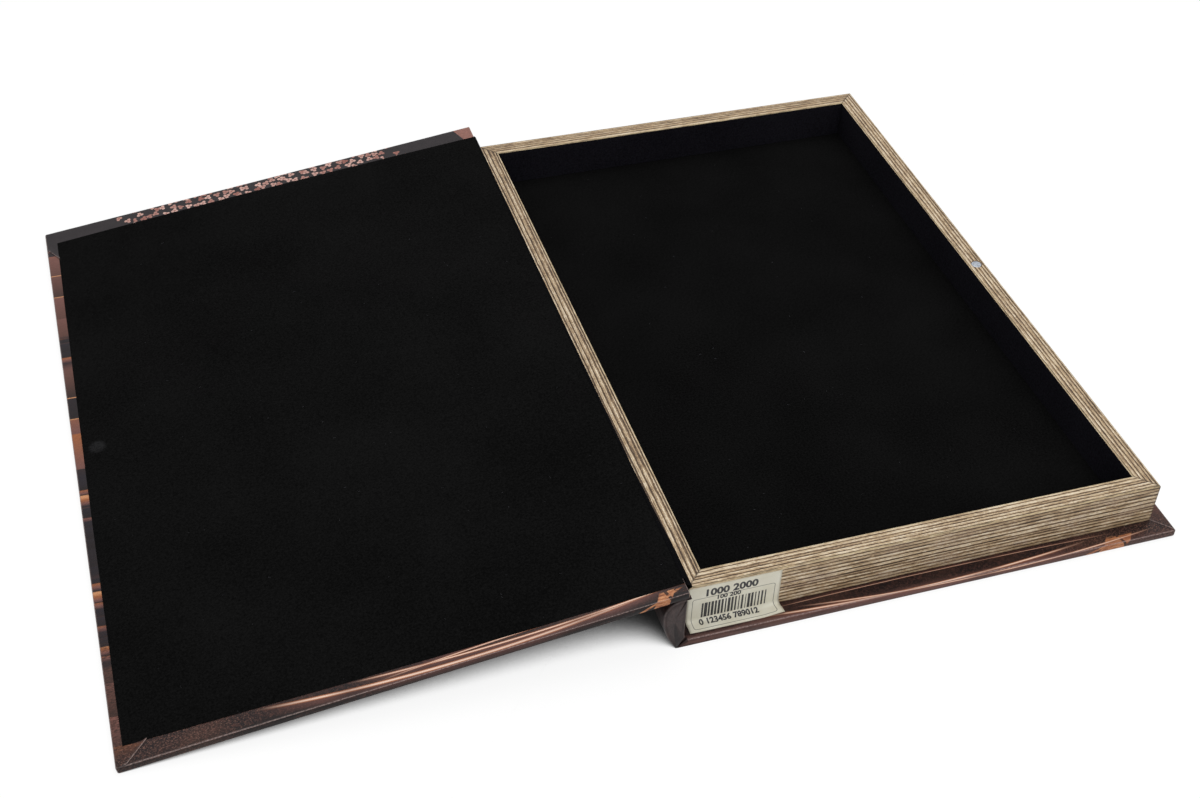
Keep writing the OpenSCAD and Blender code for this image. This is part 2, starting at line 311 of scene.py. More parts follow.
@dataclass(frozen=True)
class Tray:
    """Sizes of the tray."""

    half_x: float
    half_y: float
    base_top: float
    wall_top: float
    rim_top: float
    wall_t: float
    foil_t: float
    card_top: float
    floor_top: float
    lining_top: float
    felt_t: float
    magnet_r: float
    magnet_top: float
    magnet_foot: float

    @classmethod
    def from_frame(cls) -> "Tray":
        """Reads the sizes from the boxes of the CAD nodes."""
        wall, foil, felt, magnet, lining = (
            [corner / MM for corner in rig.box(name)]
            for name in ("spine_wall", "spine_page_foil", "floor_felt", "rim_magnet", "spine_lining"))
        return cls(
            half_x=-wall[0].x, half_y=wall[1].y, base_top=wall[0].z, wall_top=wall[1].z, rim_top=foil[1].z,
            wall_t=wall[1].x - wall[0].x, foil_t=wall[0].x - foil[0].x, card_top=felt[0].z,
            floor_top=felt[1].z, lining_top=lining[1].z, felt_t=felt[1].z - felt[0].z,
            magnet_r=(magnet[1].y - magnet[0].y) / 2, magnet_top=magnet[1].z, magnet_foot=magnet[0].z)

    def half(self, side: Side) -> float:
        """Half the outer length of a side's wall."""
        return self.half_y if side.is_long else self.half_x

    def place(self, side: Side, along: float, inward: float, height: float) -> Vector:
        """Point in metres: along a wall from its middle, in from its outer face, above the table."""
        out = inward - (self.half_x if side.is_long else self.half_y)
        return Vector((along * side.cos - out * side.sin, along * side.sin + out * side.cos, height)) * MM


@dataclass(frozen=True)
class Cover:
    """The open front board's own frame: reach from the hinge line, y, height off the outer face."""

    hinge: Vector
    reach: float
    half_y: float
    thick: float
    felt_t: float
    edge_r: float = 0.8
    edge_gap: float = 0.3

    @classmethod
    def from_frame(cls, tray: Tray) -> "Cover":
        """Reads the hinge from the joint and the board's size from the back covering's box."""
        hinge, far = Vector(frame["joints"][0]["pos_m"]) / MM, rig.box("back_skin")[1] / MM
        return cls(hinge, far.x - hinge.x, far.y, tray.base_top, tray.felt_t)

    @property
    def tilt(self) -> float:
        """Slope in radians at which the rounded far edge rests on the table."""
        run = self.reach - self.edge_r
        return math.asin((self.hinge.z - self.edge_r) / math.hypot(run, self.edge_r)) \
            + math.atan2(self.edge_r, run)

    @property
    def matrix(self) -> Matrix:
        """Turns the board's own millimetres into the model's metres."""
        cos, sin = math.cos(self.tilt), math.sin(self.tilt)
        turned = Matrix(((-cos, 0, -sin, 0), (0, 1, 0, 0), (-sin, 0, cos, 0), (0, 0, 0, 1)))
        return Matrix.Scale(MM, 4) @ Matrix.Translation(self.hinge) @ turned

    def place(self, reach: float, y: float, height: float) -> Vector:
        """Point of the open cover in the model's frame, in metres."""
        return self.matrix @ Vector((reach, y, height))


# Node trees


class Value:
    """A number, place or colour in a node tree, which can be reckoned with."""

    def __init__(self, tree: "Tree", socket: NodeSocket) -> None:
        """Holds a node's output."""
        self.tree, self.socket = tree, socket

    def math(self, operation: str, other: "Feed" = 0.0, clamp: bool = False) -> "Value":
        """Result of a math operation with another number."""
        return self.tree.get("ShaderNodeMath", {0: self, 1: other}, operation=operation, use_clamp=clamp)

    def __add__(self, other: "Feed") -> "Value":
        """Sum."""
        return self.math("ADD", other)

    def __sub__(self, other: "Feed") -> "Value":
        """Difference."""
        return self.math("SUBTRACT", other)

    def __mul__(self, other: "Feed") -> "Value":
        """Product."""
        return self.math("MULTIPLY", other)

    def __abs__(self) -> "Value":
        """Size without its sign."""
        return self.math("ABSOLUTE")

    def step(self, low: float, high: float, start: float = 0.0, end: float = 1.0) -> "Value":
        """Smooth step from start where the number is low to end where it is high."""
        inputs = {"Value": self, "From Min": low, "From Max": high, "To Min": start, "To Max": end}
        return self.tree.get("ShaderNodeMapRange", inputs, interpolation_type="SMOOTHSTEP")

    def vector(self, operation: str, other: "Feed", out: int | str = 0) -> "Value":
        """Result of a vector operation with another place."""
        return self.tree.get("ShaderNodeVectorMath", {0: self, 1: other}, out, operation=operation)

    def scaled(self, x: float, y: float, z: float) -> "Value":
        """A place stretched along its axes."""
        return self.vector("MULTIPLY", (x, y, z))

    def noise(self, scale: float, detail: float, rough: float = 0.5, warp: float = 0.0) -> "Value":
        """Noise from 0 to 1 at a place."""
        return self.tree.get("ShaderNodeTexNoise", {
            "Vector": self, "Scale": scale, "Detail": detail, "Roughness": rough, "Distortion": warp})

    @property
    def parts(self) -> "list[Value]":
        """The three numbers of a place or a colour."""
        return [Value(self.tree, out) for out in self.tree.node("ShaderNodeSeparateXYZ", {0: self}).outputs]

    def mix(self, low: "Feed", high: "Feed") -> "Value":
        """Colour between two colours, at this share."""
        return self.tree.get("ShaderNodeMix", {0: self, 6: low, 7: high}, 2, data_type="RGBA")

    def ramp(self, *stops: tuple[float, Colour]) -> "Value":
        """Colour of a ramp at this share.

        Args:
            stops: places from 0 to 1, each with its colour.

        Returns:
            The colour.
        """
        made = self.tree.node("ShaderNodeValToRGB", {0: self})
        elements = made.color_ramp.elements
        while len(elements) < len(stops):
            elements.new(1.0)
        for element, (spot, colour) in zip(elements, stops):
            element.position = spot
            element.color = (*tint(colour), 1.0)
        return Value(self.tree, made.outputs[0])

    def bump(self, depth: float, strength: float) -> "Value":
        """Normal of a relief whose height of 1 is a depth in millimetres."""
        inputs = {"Height": self, "Distance": depth * MM, "Strength": strength}
        return self.tree.get("ShaderNodeBump", inputs)


Feed = Value | float | Colour | Sequence[float] | Material
Layers = Iterator[tuple[Value, Feed]]


class Tree:
    """Short hand for adding nodes to a node tree."""

    def __init__(self, tree: NodeTree) -> None:
        """Empties a tree."""
        self.tree = tree
        tree.nodes.clear()

    def node(self, kind: str, inputs: dict[str | int, Feed], **settings: object) -> Node:
        """Adds a node.

        Args:
            kind: Blender's name of the node type.
            inputs: what each named or numbered socket gets.
            settings: the node's own settings.

        Returns:
            The new node.
        """
        made = self.tree.nodes.new(kind)
        for key, setting in settings.items():
            setattr(made, key, setting)
        for key, source in inputs.items():
            self.feed(made.inputs[key], source)
        return made

    def feed(self, socket: NodeSocket, source: Feed) -> None:
        """Links a socket, or sets a plain value as the socket's own.

        Args:
            socket: an input of a node.
            source: what it gets.
        """
        if isinstance(source, Value):
            self.tree.links.new(source.socket, socket)
        elif socket.type == "RGBA":
            socket.default_value = (*(tint(source) if isinstance(source, str) else source), 1.0)
        else:
            socket.default_value = source

    def get(self, kind: str, inputs: dict[str | int, Feed], out: int | str = 0, **settings: object) -> Value:
        """Adds a node and takes one of its outputs."""
        return Value(self, self.node(kind, inputs, **settings).outputs[out])

    def together(self, x: Feed, y: Feed = 0.0, z: Feed = 0.0) -> Value:
        """A place from its X, Y and Z."""
        return self.get("ShaderNodeCombineXYZ", {0: x, 1: y, 2: z})

    def ray_is(self, *kinds: str) -> Value:
        """1 for a ray of one of these kinds, by their names in the Light Path node, and 0 for others."""
        path = self.node("ShaderNodeLightPath", {}).outputs
        return reduce(lambda one, other: one.math("MAXIMUM", other), (Value(self, path[k]) for k in kinds))


class Nodes(Tree):
    """Short hand for building one material's nodes."""

    def __init__(self, name: str) -> None:
        """Starts a material with one principled shader.

        Args:
            name: the material's name.
        """
        self.material = bpy.data.materials.new(name)
        self.material.use_nodes = True
        super().__init__(self.material.node_tree)
        self.shader = self.node("ShaderNodeBsdfPrincipled", {})
        self.node("ShaderNodeOutputMaterial", {"Surface": Value(self, self.shader.outputs[0])})

    @cached_property
    def sheet(self) -> Value:
        """Place on the flat sheet that the piece was cut from, in millimetres."""
        return self.get("ShaderNodeAttribute", {}, "Vector", attribute_name=SHEET)

    def mark(self, name: str) -> Value:
        """A number painted on the piece's points."""
        return self.get("ShaderNodeAttribute", {}, "Fac", attribute_name=name)

    def solid(self) -> Value:
        """Place in the model's frame, in millimetres."""
        return self.get("ShaderNodeTexCoord", {}, "Object").scaled(1 / MM, 1 / MM, 1 / MM)

    def cells(self, run: Value) -> tuple[list[Value], Value, Value]:
        """Uneven cells along a line.

        Args:
            run: place along the line.

        Returns:
            Three random numbers, the place inside the cell and the distance to its seam.
        """
        inputs = {"W": run, "Scale": 1.0, "Randomness": 1.0}
        near = self.node("ShaderNodeTexVoronoi", inputs, voronoi_dimensions="1D").outputs
        seam = self.get(
            "ShaderNodeTexVoronoi", inputs, "Distance", voronoi_dimensions="1D", feature="DISTANCE_TO_EDGE")
        return Value(self, near["Color"]).parts, run - Value(self, near["W"]), seam

    def dress(self, **inputs: Feed) -> Material:
        """Feeds the shader, with underscores for the spaces in its sockets' names."""
        for key, source in inputs.items():
            self.feed(self.shader.inputs[key.replace("_", " ")], source)
        return self.material


# Finishes


@dataclass(frozen=True)
class Felt:
    """Thin black felt with a soft nap, fine flecks and a few paler clouds; where its points are marked it is paler,
    partly from rubbing and partly as a painted highlight.
    """

    name: str
    dark: Colour
    light: Colour
    cloud_size: float = 45.0
    fleck_size: float = 0.9
    fibre_size: float = 0.5
    # Paler tone for rubbing and a painted highlight.
    rubbed: Colour = "262627"

    @cached_property
    def material(self) -> Material:
        """The material."""
        nodes = Nodes(self.name)
        place = nodes.solid()
        flecks = place.noise(1 / self.fleck_size, 3.0, 0.6)
        fibres = place.noise(1 / self.fibre_size, 4.0, 0.65, 0.6)
        share = place.noise(1 / self.cloud_size, 2.0) * 0.2 + flecks * 0.5 + fibres * 0.3
        colour = share.ramp((0.4, self.dark), (0.6, self.light))
        # Paler over the magnet's bump: partly rubbing, partly a painted highlight where the bump would catch the light.
        rubbed = nodes.mark(WEAR_AND_HIGHLIGHT) * flecks.step(0.35, 0.6, 0.45, 1.0)
        return nodes.dress(
            Base_Color=rubbed.mix(colour, self.rubbed), Roughness=0.95, Normal=fibres.bump(0.12, 0.6),
            Specular_IOR_Level=0.015, Sheen_Weight=0.004, Sheen_Roughness=0.5)


@dataclass(frozen=True)
class HingeCloth:
    """Fine black woven cloth, of crossing threads on its own sheet."""

    name: str = "hinge_cloth"
    dark: Colour = "060607"
    light: Colour = "121214"
    thread: float = 0.32

    @cached_property
    def material(self) -> Material:
        """The material."""
        nodes = Nodes(self.name)
        sheet = nodes.sheet
        warp, weft = ((part * (math.tau / self.thread)).math("SINE") for part in sheet.parts[:2])
        weave = warp * weft * 0.5 + 0.5
        colour = (weave * 0.5 + sheet.noise(0.25, 3.0) * 0.5).ramp((0.2, self.dark), (0.9, self.light))
        return nodes.dress(
            Base_Color=colour, Roughness=0.9, Normal=weave.bump(0.05, 0.6), Specular_IOR_Level=0.02)


@dataclass(frozen=True)
class PageFoil:
    """Streaked foil that stands for the edges of pages, closer together on the rim."""

    name: str
    seed: float
    rim_start: float
    contrast: float = 1.0
    shift: float = 0.0
    rim_pitch: float = 1.6
    face_pitch: float = 1.9
    tones: tuple[Colour, ...] = ("443527", "7b644c", "ab9070", "ccb592", "eadbc2")
    places: tuple[float, ...] = (0.05, 0.28, 0.52, 0.76, 0.98)

    @cached_property
    def material(self) -> Material:
        """Uneven pages in two sizes, each with its tone, a round back painted lighter in its middle and darker at its
        seams, and a gap darkened by painted shade, under hair lines; painted shade at the mitred ends and a painted
        highlight with scuffing on the rim's edges.
        """
        nodes = Nodes(self.name)
        x, run, _ = nodes.sheet.parts
        along = x + 61.0 * self.seed

        def drawn(stretch: float, over: Value, squeeze: float, detail: float) -> Value:
            """Noise drawn out along the wall, less a half."""
            place = nodes.together(along * stretch, over * squeeze, self.seed)
            return place.noise(1.0, detail, 0.65) - 0.5

        across = drawn(0.14, run, 0.6, 2.0) * 0.4 + drawn(0.012, run, 0.08, 1.0) * 0.9 + run
        on_face = across.math("MINIMUM", self.rim_start) * (1 / self.face_pitch)
        phase = (across - self.rim_start).math("MAXIMUM") * (1 / self.rim_pitch) + on_face
        rim, opened = run.step(self.rim_start - 0.5, self.rim_start + 0.5), run.step(2.0, 15.0, 0.4)
        hair, grain = drawn(0.15, across, 1.9, 4.0), drawn(0.5, across, 2.6, 3.0)
        blotch = drawn(0.05, run, 0.15, 3.0)
        speckle = drawn(1.0, across, 2.4, 2.0) * blotch.step(-0.06, 0.1, 0.3)
        share, gaps = rim * 0.06 + (0.56 + self.shift), []
        layers = [(hair, 0.9), (grain, 0.95), (blotch, 0.5), (speckle, 0.95)]
        # Per page size: a round back lighter in the middle and darker towards its seams, which is painted light and
        # shade of a ridge, and a gap darkened as painted shade.
        for count, toned, painted_ridge_shading, painted_gap_shade in ((1.0, 1.1, 0.5, -0.6), (2.3, 0.7, 0.2, -0.35)):
            pick, _, seam = nodes.cells(phase * count + 7.3 * self.seed)
            own = pick[0] * 300.0
            shown = drawn(0.1 * count, own, 1.7, 2.0).step(-0.1, 0.1, 0.1)
            gaps.append(seam.step(0.05, 0.17, 1.0, 0.0) * shown * opened)
            layers += [(drawn(0.06 * count, own, 1.0, 3.0), toned),
                       (seam.step(0.06, 0.42) - 0.55, painted_ridge_shading), (gaps[-1], painted_gap_shade)]
        for part, weight in layers:
            share = part * (weight * self.contrast) + share
        colour = share.ramp(*zip(self.places, self.tones))
        faded = (blotch.step(-0.02, 0.12) * rim.step(0.0, 1.0, 0.3, 0.1)).mix(colour, "8a7468")
        # Painted shade at the mitred ends, then a paler tone on the rim's rounded edges, partly scuffing and partly a
        # painted highlight.
        crease_shaded = (nodes.mark(CREASE_SHADE) * 0.6).mix(faded, "33281f")
        worn_with_highlight = (nodes.mark(WEAR_AND_HIGHLIGHT) * hair.step(-0.1, 0.1, 0.15, 0.6)).mix(crease_shaded, "dccaa2")
        relief = hair * 0.5 + (gaps[0] * -1.0 + 1.0)
        return nodes.dress(Base_Color=worn_with_highlight, Roughness=blotch.step(-0.2, 0.2, 0.45, 0.6),
                           Normal=relief.bump(0.1, 0.8), Specular_IOR_Level=0.25)


@dataclass(frozen=True)
class Arc:
    """A printed line that fades out at a reach from its apex, which a positive radius curves upwards."""

    apex: Spot
    radius: float
    width: float
    strength: float = 1.0
    reach: float = 75.0


@dataclass(frozen=True)
class Block:
    """A short printed block across the tail edge: its start and end, its slant and its dark bar."""

    start: float
    end: float
    slant: float
    dark: float = 0.5


@dataclass(frozen=True)
class PrintedCovering:
    """Glossy printed covering: dark ground, long copper arcs, copper bars and a sprinkle of leaves."""

    name: str
    seed: float
    arcs: tuple[Arc, ...]
    blocks: tuple[Block, ...]
    edge_share: float = 0.55
    edge_tone: Colour = "6f4c44"
    tail_from: float = -163.0
    bars_from: float = 196.0
    leaves_from: float = 150.0
    leaves_mid: float = 108.0
    leaves_spread: float = 84.0
    leaf_cell: float = 3.8
    corner_end: float = 68.0
    bar_cell: float = 17.0
    small_cell: float = 5.5
    worn_below: float = -100.0
    ink: Colour = "171113"
    umber: Colour = "34241f"
    slate: Colour = "211d24"
    rose: Colour = "78514a"
    copper: Colour = "a0623f"
    glow: Colour = "d3976c"
    pale: Colour = "f7d6c1"

    def ground(self, sheet: Value) -> Value:
        """Weathered dark ground with warm clouds and fine specks, toned along the tail edge.

        Args:
            sheet: place on the flat covering.

        Returns:
            The colour.
        """
        x, y, _ = sheet.parts
        clouds = sheet.vector("ADD", (self.seed, 0.0, 0.0)).noise(0.03, 3.0, 0.55)
        mottle = sheet.noise(0.8, 5.0, 0.7, 0.6)
        specks = sheet.scaled(1.3, 1.9, 1.0).noise(1.0, 2.0, 0.8) + x.step(130.0, 190.0, 0.0, 0.1)
        streak = sheet.scaled(0.06, 0.5, 1.0).noise(1.0, 4.0, 0.6)
        warm = clouds.step(0.42, 0.7).mix(self.ink, self.umber)
        aged = mottle.step(0.44, 0.66, 0.0, 0.6).mix(warm, "573932")
        dusted = specks.step(0.62, 0.74, 0.0, 0.6).mix(aged, "8f6b5e")
        tail = y.step(-164.6, -165.6) * y.step(-172.0, -169.4)
        toned = tail * streak.step(0.36, 0.56, 0.25, self.edge_share) * x.step(150.0, 200.0, 1.0, 0.4)
        return toned.mix(dusted, self.edge_tone)

    def copper_blocks(self, nodes: Nodes) -> Layers:
        """Each block in streaked copper, parted by a dark slanting bar, along the tail edge.

        Args:
            nodes: the material.

        Returns:
            The layers, from below.
        """
        x, y, _ = nodes.sheet.parts
        start = self.tail_from
        streaks = nodes.sheet.scaled(0.22, 1.4, 1.0).noise(1.0, 4.0, 0.7)
        copper = streaks.ramp((0.3, self.umber), (0.44, "9a5d3d"), (0.62, self.glow))
        tail = y.step(start, start + 2.0, 1.0, 0.0) * (streaks * 3.0 + y).step(start - 8.6, start - 7.8)
        for block in self.blocks:
            along = (y - start) * block.slant + x
            inside = (along.step(block.start - 0.2, block.start + 0.2)
                      * along.step(block.end - 0.3, block.end + 0.3, 1.0, 0.0))
            middle = (block.start + block.end) / 2 + 1.6 * block.slant * 172.0
            bar = abs(y * (-1.6 * block.slant) + along - middle)
            yield inside * tail, bar.step(block.dark, block.dark + 0.3, 0.9, 0.0).mix(copper, self.ink)

    def copper_arcs(self, nodes: Nodes) -> Layers:
        """Each arc as a thin copper line with a pale core and a faint glow on one side.

        Args:
            nodes: the material.

        Returns:
            The layers, from below.
        """
        sheet = nodes.sheet
        x, flat, fade = sheet.parts[0], sheet.scaled(1.0, 1.0, 0.0), sheet.noise(0.035, 2.0)
        for line in self.arcs:
            centre = (line.apex[0], line.apex[1] + line.radius, 0.0)
            side = flat.vector("DISTANCE", centre, "Value") - abs(line.radius)
            near = abs(x - line.apex[0]).step(line.reach * 0.7, line.reach * 1.1, line.strength, 0.0)
            shown = fade.step(0.3, 0.5, 0.4) * near
            halo = side.step(0.0, line.width * 3.4, 0.6, 0.0) * side.step(-line.width * 0.6, 0.0)
            band = abs(side).step(line.width * 0.4, line.width * 0.6, 1.0, 0.0)
            core = abs(side).step(line.width * 0.1, line.width * 0.38, 0.95, 0.0)
            yield halo * shown, self.rose
            yield band * shown, self.copper
            yield core * shown, self.pale

    def fore_bars(self, nodes: Nodes) -> Layers:
        """Uneven bars of shaded copper, rose and slate across the fore edge.

        Args:
            nodes: the material.

        Returns:
            The layers, from below.
        """
        x, y, _ = nodes.sheet.parts
        slant = x * 0.16 + y
        pick, inside, seam = nodes.cells(slant * (1 / self.bar_cell) + self.seed)
        bars = (inside * 0.22).math("ADD", pick[0], clamp=True).ramp(
            (0.0, self.ink), (0.28, self.slate), (0.4, self.umber), (0.55, "5f4038"),
            (0.72, self.rose), (0.97, self.copper))
        lined = (seam.step(0.012, 0.05, 1.0, 0.0) * pick[1].step(0.66, 0.7)).mix(bars, self.glow)
        pick, inside, seam = nodes.cells(slant * (1 / self.small_cell) + 3.1 * self.seed)
        small = (inside * 0.5).math("ADD", pick[0], clamp=True).ramp(
            (0.0, self.ink), (0.5, self.slate), (0.66, self.rose), (0.84, self.copper), (0.98, self.glow))
        cut = seam.step(0.02, 0.1, 0.8, 0.0).mix(small, self.ink)
        busy = nodes.together(y * 0.022, self.seed).noise(1.0, 1.0).step(0.52, 0.56)
        worn_with_highlight = nodes.sheet.scaled(0.45, 1.3, 1.0).noise(1.0, 5.0, 0.75).step(0.4, 0.62)
        place = y.step(self.worn_below + 25.0, self.worn_below - 25.0, 0.2, 0.95)
        aged = (worn_with_highlight * place).mix(busy.mix(lined, cut), self.umber)
        yield x.step(self.bars_from, self.bars_from + 8.0) * y.step(-164.0, -146.0), aged

    def head_leaves(self, nodes: Nodes) -> Layers:
        """Slate band along the head with a sprinkle of small three-lobed leaves.

        Args:
            nodes: the material.

        Returns:
            The layers, from below.
        """
        sheet = nodes.sheet
        x, y, _ = sheet.parts
        grid = sheet.scaled(1 / self.leaf_cell, 1 / self.leaf_cell, 0.0)
        cells = nodes.node("ShaderNodeTexVoronoi", {"Vector": grid, "Scale": 1.0, "Randomness": 0.7},
                           voronoi_dimensions="2D").outputs
        away, colour, middle = (Value(nodes, cells[name]) for name in ("Distance", "Color", "Position"))
        pick, off = colour.parts, grid.vector("SUBTRACT", middle).parts
        angle = off[1].math("ARCTAN2", off[0]) + pick[0] * math.tau
        edge = abs((angle * 1.5).math("COSINE")) * 0.28 + 0.2
        thick = sheet.scaled(0.05, 0.05, 1.0).noise(1.0, 2.0).step(0.35, 0.5, 0.85)
        spell = abs(x - self.leaves_mid).step(self.leaves_spread * 0.6, self.leaves_spread, 1.0, -0.02)
        leaf = (away - edge).step(-0.05, 0.04, 1.0, 0.0) * pick[1].math("LESS_THAN", thick * spell)
        tone = (pick[2] * away.step(0.06, 0.2, 0.1)).mix("945f55", "e0b9ad")
        ground = sheet.noise(0.2, 4.0).mix("1b171a", "302a2c")
        corner = (abs(y) * 0.35 + x).step(self.corner_end, self.corner_end + 0.4, 1.0, 0.0)
        rosy = sheet.noise(0.5, 4.0, 0.7).mix("6e4a44", "a8786c")
        share = abs(y).step(self.leaves_from, self.leaves_from + 9.0) * y.step(0.0, 1.0)
        yield share, corner.mix(leaf.mix(ground, tone), rosy)

    @cached_property
    def material(self) -> Material:
        """The material."""
        nodes = Nodes(self.name)
        sheet = nodes.sheet
        printed = self.ground(sheet)
        for layers in (self.copper_blocks, self.copper_arcs, self.fore_bars, self.head_leaves):
            for share, tone in layers(nodes):
                printed = share.mix(printed, tone)
        # Along the folded edges a paler tone, partly scuffing and partly a painted highlight, broken up by noise; then
        # painted shade in crevices and beside the folds.
        rub = sheet.scaled(0.9, 0.9, 1.0).noise(1.0, 4.0, 0.7)
        worn_with_highlight = (nodes.mark(WEAR_AND_HIGHLIGHT) * rub.step(0.38, 0.6, 0.22, 0.9)).mix(printed, "a8948f")
        crease_shaded = (nodes.mark(CREASE_SHADE) * 0.75).mix(worn_with_highlight, "120d0e")
        grain = sheet.noise(2.6, 4.0, 0.6)
        return nodes.dress(Base_Color=crease_shaded, Roughness=rub.step(0.3, 0.75, 0.34, 0.5),
                           Normal=grain.bump(0.03, 0.5), Specular_IOR_Level=0.16)


@dataclass(frozen=True)
class PlainCovering:
    """Dark plain covering with a fine leather grain; paler where marked along its folds and ends, partly scuffing and
    partly painted light, and darker where marked as painted shade.
    """

    name: str = "dark_covering"
    dark: Colour = "1b1415"
    light: Colour = "413331"

    @cached_property
    def material(self) -> Material:
        """The material."""
        nodes = Nodes(self.name)
        sheet = nodes.sheet
        grain = nodes.get(
            "ShaderNodeTexVoronoi", {"Vector": sheet, "Scale": 1.5}, "Distance", feature="DISTANCE_TO_EDGE")
        cloud = sheet.noise(0.12, 4.0, 0.6)
        share = cloud * 0.6 + sheet.scaled(0.5, 0.06, 1.0).noise(1.0, 3.0) * 0.4
        colour = share.ramp((0.36, self.dark), (0.64, self.light))
        rub = sheet.noise(0.8, 4.0, 0.7).step(0.4, 0.7, 0.25, 0.6)
        # Paler where marked, partly scuffing and partly painted light; then painted shade where marked.
        worn_with_highlight = (nodes.mark(WEAR_AND_HIGHLIGHT) * rub).mix(colour, "857a78")
        crease_shaded = (nodes.mark(CREASE_SHADE) * 0.8).mix(worn_with_highlight, "141011")
        return nodes.dress(Base_Color=crease_shaded, Roughness=cloud.step(0.3, 0.7, 0.38, 0.5),
                           Normal=grain.step(0.0, 0.12).bump(0.03, 0.6), Specular_IOR_Level=0.14)


@dataclass(frozen=True)
class Fibreboard:
    """Pressed board, also used for the grey card: matted fibres and dark flecks."""

    name: str
    dark: Colour
    light: Colour
    fibre: float = 1.2

    @cached_property
    def material(self) -> Material:
        """The material."""
        nodes = Nodes(self.name)
        place = nodes.solid()
        fibres = place.scaled(1.0, 0.45, 2.0).noise(1 / self.fibre, 5.0, 0.7, 1.2)
        share = fibres * 0.7 + place.noise(0.05, 2.0) * 0.3
        flecks = place.noise(1.7, 2.0, 0.9).step(0.68, 0.74, 0.0, 0.6)
        flecked = flecks.mix(share.ramp((0.3, self.dark), (0.7, self.light)), self.dark)
        return nodes.dress(
            Base_Color=flecked, Roughness=0.85, Normal=fibres.bump(0.1, 0.6), Specular_IOR_Level=0.25)


@dataclass(frozen=True)
class Nickel:
    """Nickel plating on the magnets, dulled and finely scratched."""

    name: str = "nickel"

    @cached_property
    def material(self) -> Material:
        """The material."""
        nodes = Nodes(self.name)
        place = nodes.solid()
        scratch = place.scaled(9.0, 0.7, 1.0).noise(1.0, 3.0, 0.6)
        colour = place.noise(0.9, 4.0, 0.6).ramp((0.3, "868c96"), (0.6, "aeb4bc"), (0.8, "c6cacf"))
        return nodes.dress(Base_Color=colour, Metallic=0.75, Roughness=scratch.step(0.3, 0.7, 0.32, 0.5),
                           Normal=scratch.bump(0.02, 0.5))


@dataclass(frozen=True)
class LabelPaper:
    """Off-white coated paper with a thin printed frame line, round at its corners."""

    size: Spot
    inset: float = 2.3
    head_room: float = 6.6
    foot_room: float = 1.3
    corner: float = 1.0
    line: float = 0.15
    name: str = "label_paper"

    @cached_property
    def material(self) -> Material:
        """The material, on the label's own sheet."""
        nodes = Nodes(self.name)
        sheet = nodes.sheet
        wide = self.size[0] / 2 - self.inset
        tall = (self.size[1] - self.head_room - self.foot_room) / 2
        middle = sheet.vector("ADD", (-self.size[0] / 2, -self.head_room - tall, 0.0)).parts
        past = [abs(part) - (half - self.corner) for part, half in zip(middle, (wide, tall))]
        outside = nodes.together(*(part.math("MAXIMUM") for part in past))
        inner = past[0].math("MAXIMUM", past[1]).math("MINIMUM")
        off = abs(outside.vector("LENGTH", (0.0, 0.0, 0.0), "Value") + inner - self.corner)
        fibres = sheet.noise(2.2, 4.0, 0.6)
        share = fibres * 0.35 + sheet.noise(0.14, 3.0) * 0.65
        paper = share.ramp((0.3, "d4cfbb"), (0.7, "e7e4d6"))
        edged = (nodes.mark(WEAR_AND_HIGHLIGHT) * 0.5).mix(paper, "a89f88")
        framed = off.step(self.line * 0.5, self.line, 0.85, 0.0).mix(edged, "2b2a2c")
        return nodes.dress(
            Base_Color=framed, Roughness=0.55, Normal=fibres.bump(0.02, 0.5), Specular_IOR_Level=0.4)


@dataclass(frozen=True)
class Ink:
    """Black print with slightly uneven cover."""

    name: str = "label_ink"

    @cached_property
    def material(self) -> Material:
        """The material."""
        nodes = Nodes(self.name)
        patchy = nodes.solid().noise(3.0, 3.0, 0.7)
        colour = patchy.ramp((0.3, "1d1c1f"), (0.75, "3a393b"))
        return nodes.dress(Base_Color=colour, Roughness=0.5, Normal=patchy.bump(0.01, 0.4))


@dataclass(frozen=True)
class Lint:
    """Pale fluff caught on the felt."""

    name: str = "lint"

    @cached_property
    def material(self) -> Material:
        """The material."""
        nodes = Nodes(self.name)
        colour = nodes.solid().noise(0.07, 2.0).ramp((0.35, "2a2a2f"), (0.65, "6b6b72"))
        return nodes.dress(Base_Color=colour, Roughness=0.9)


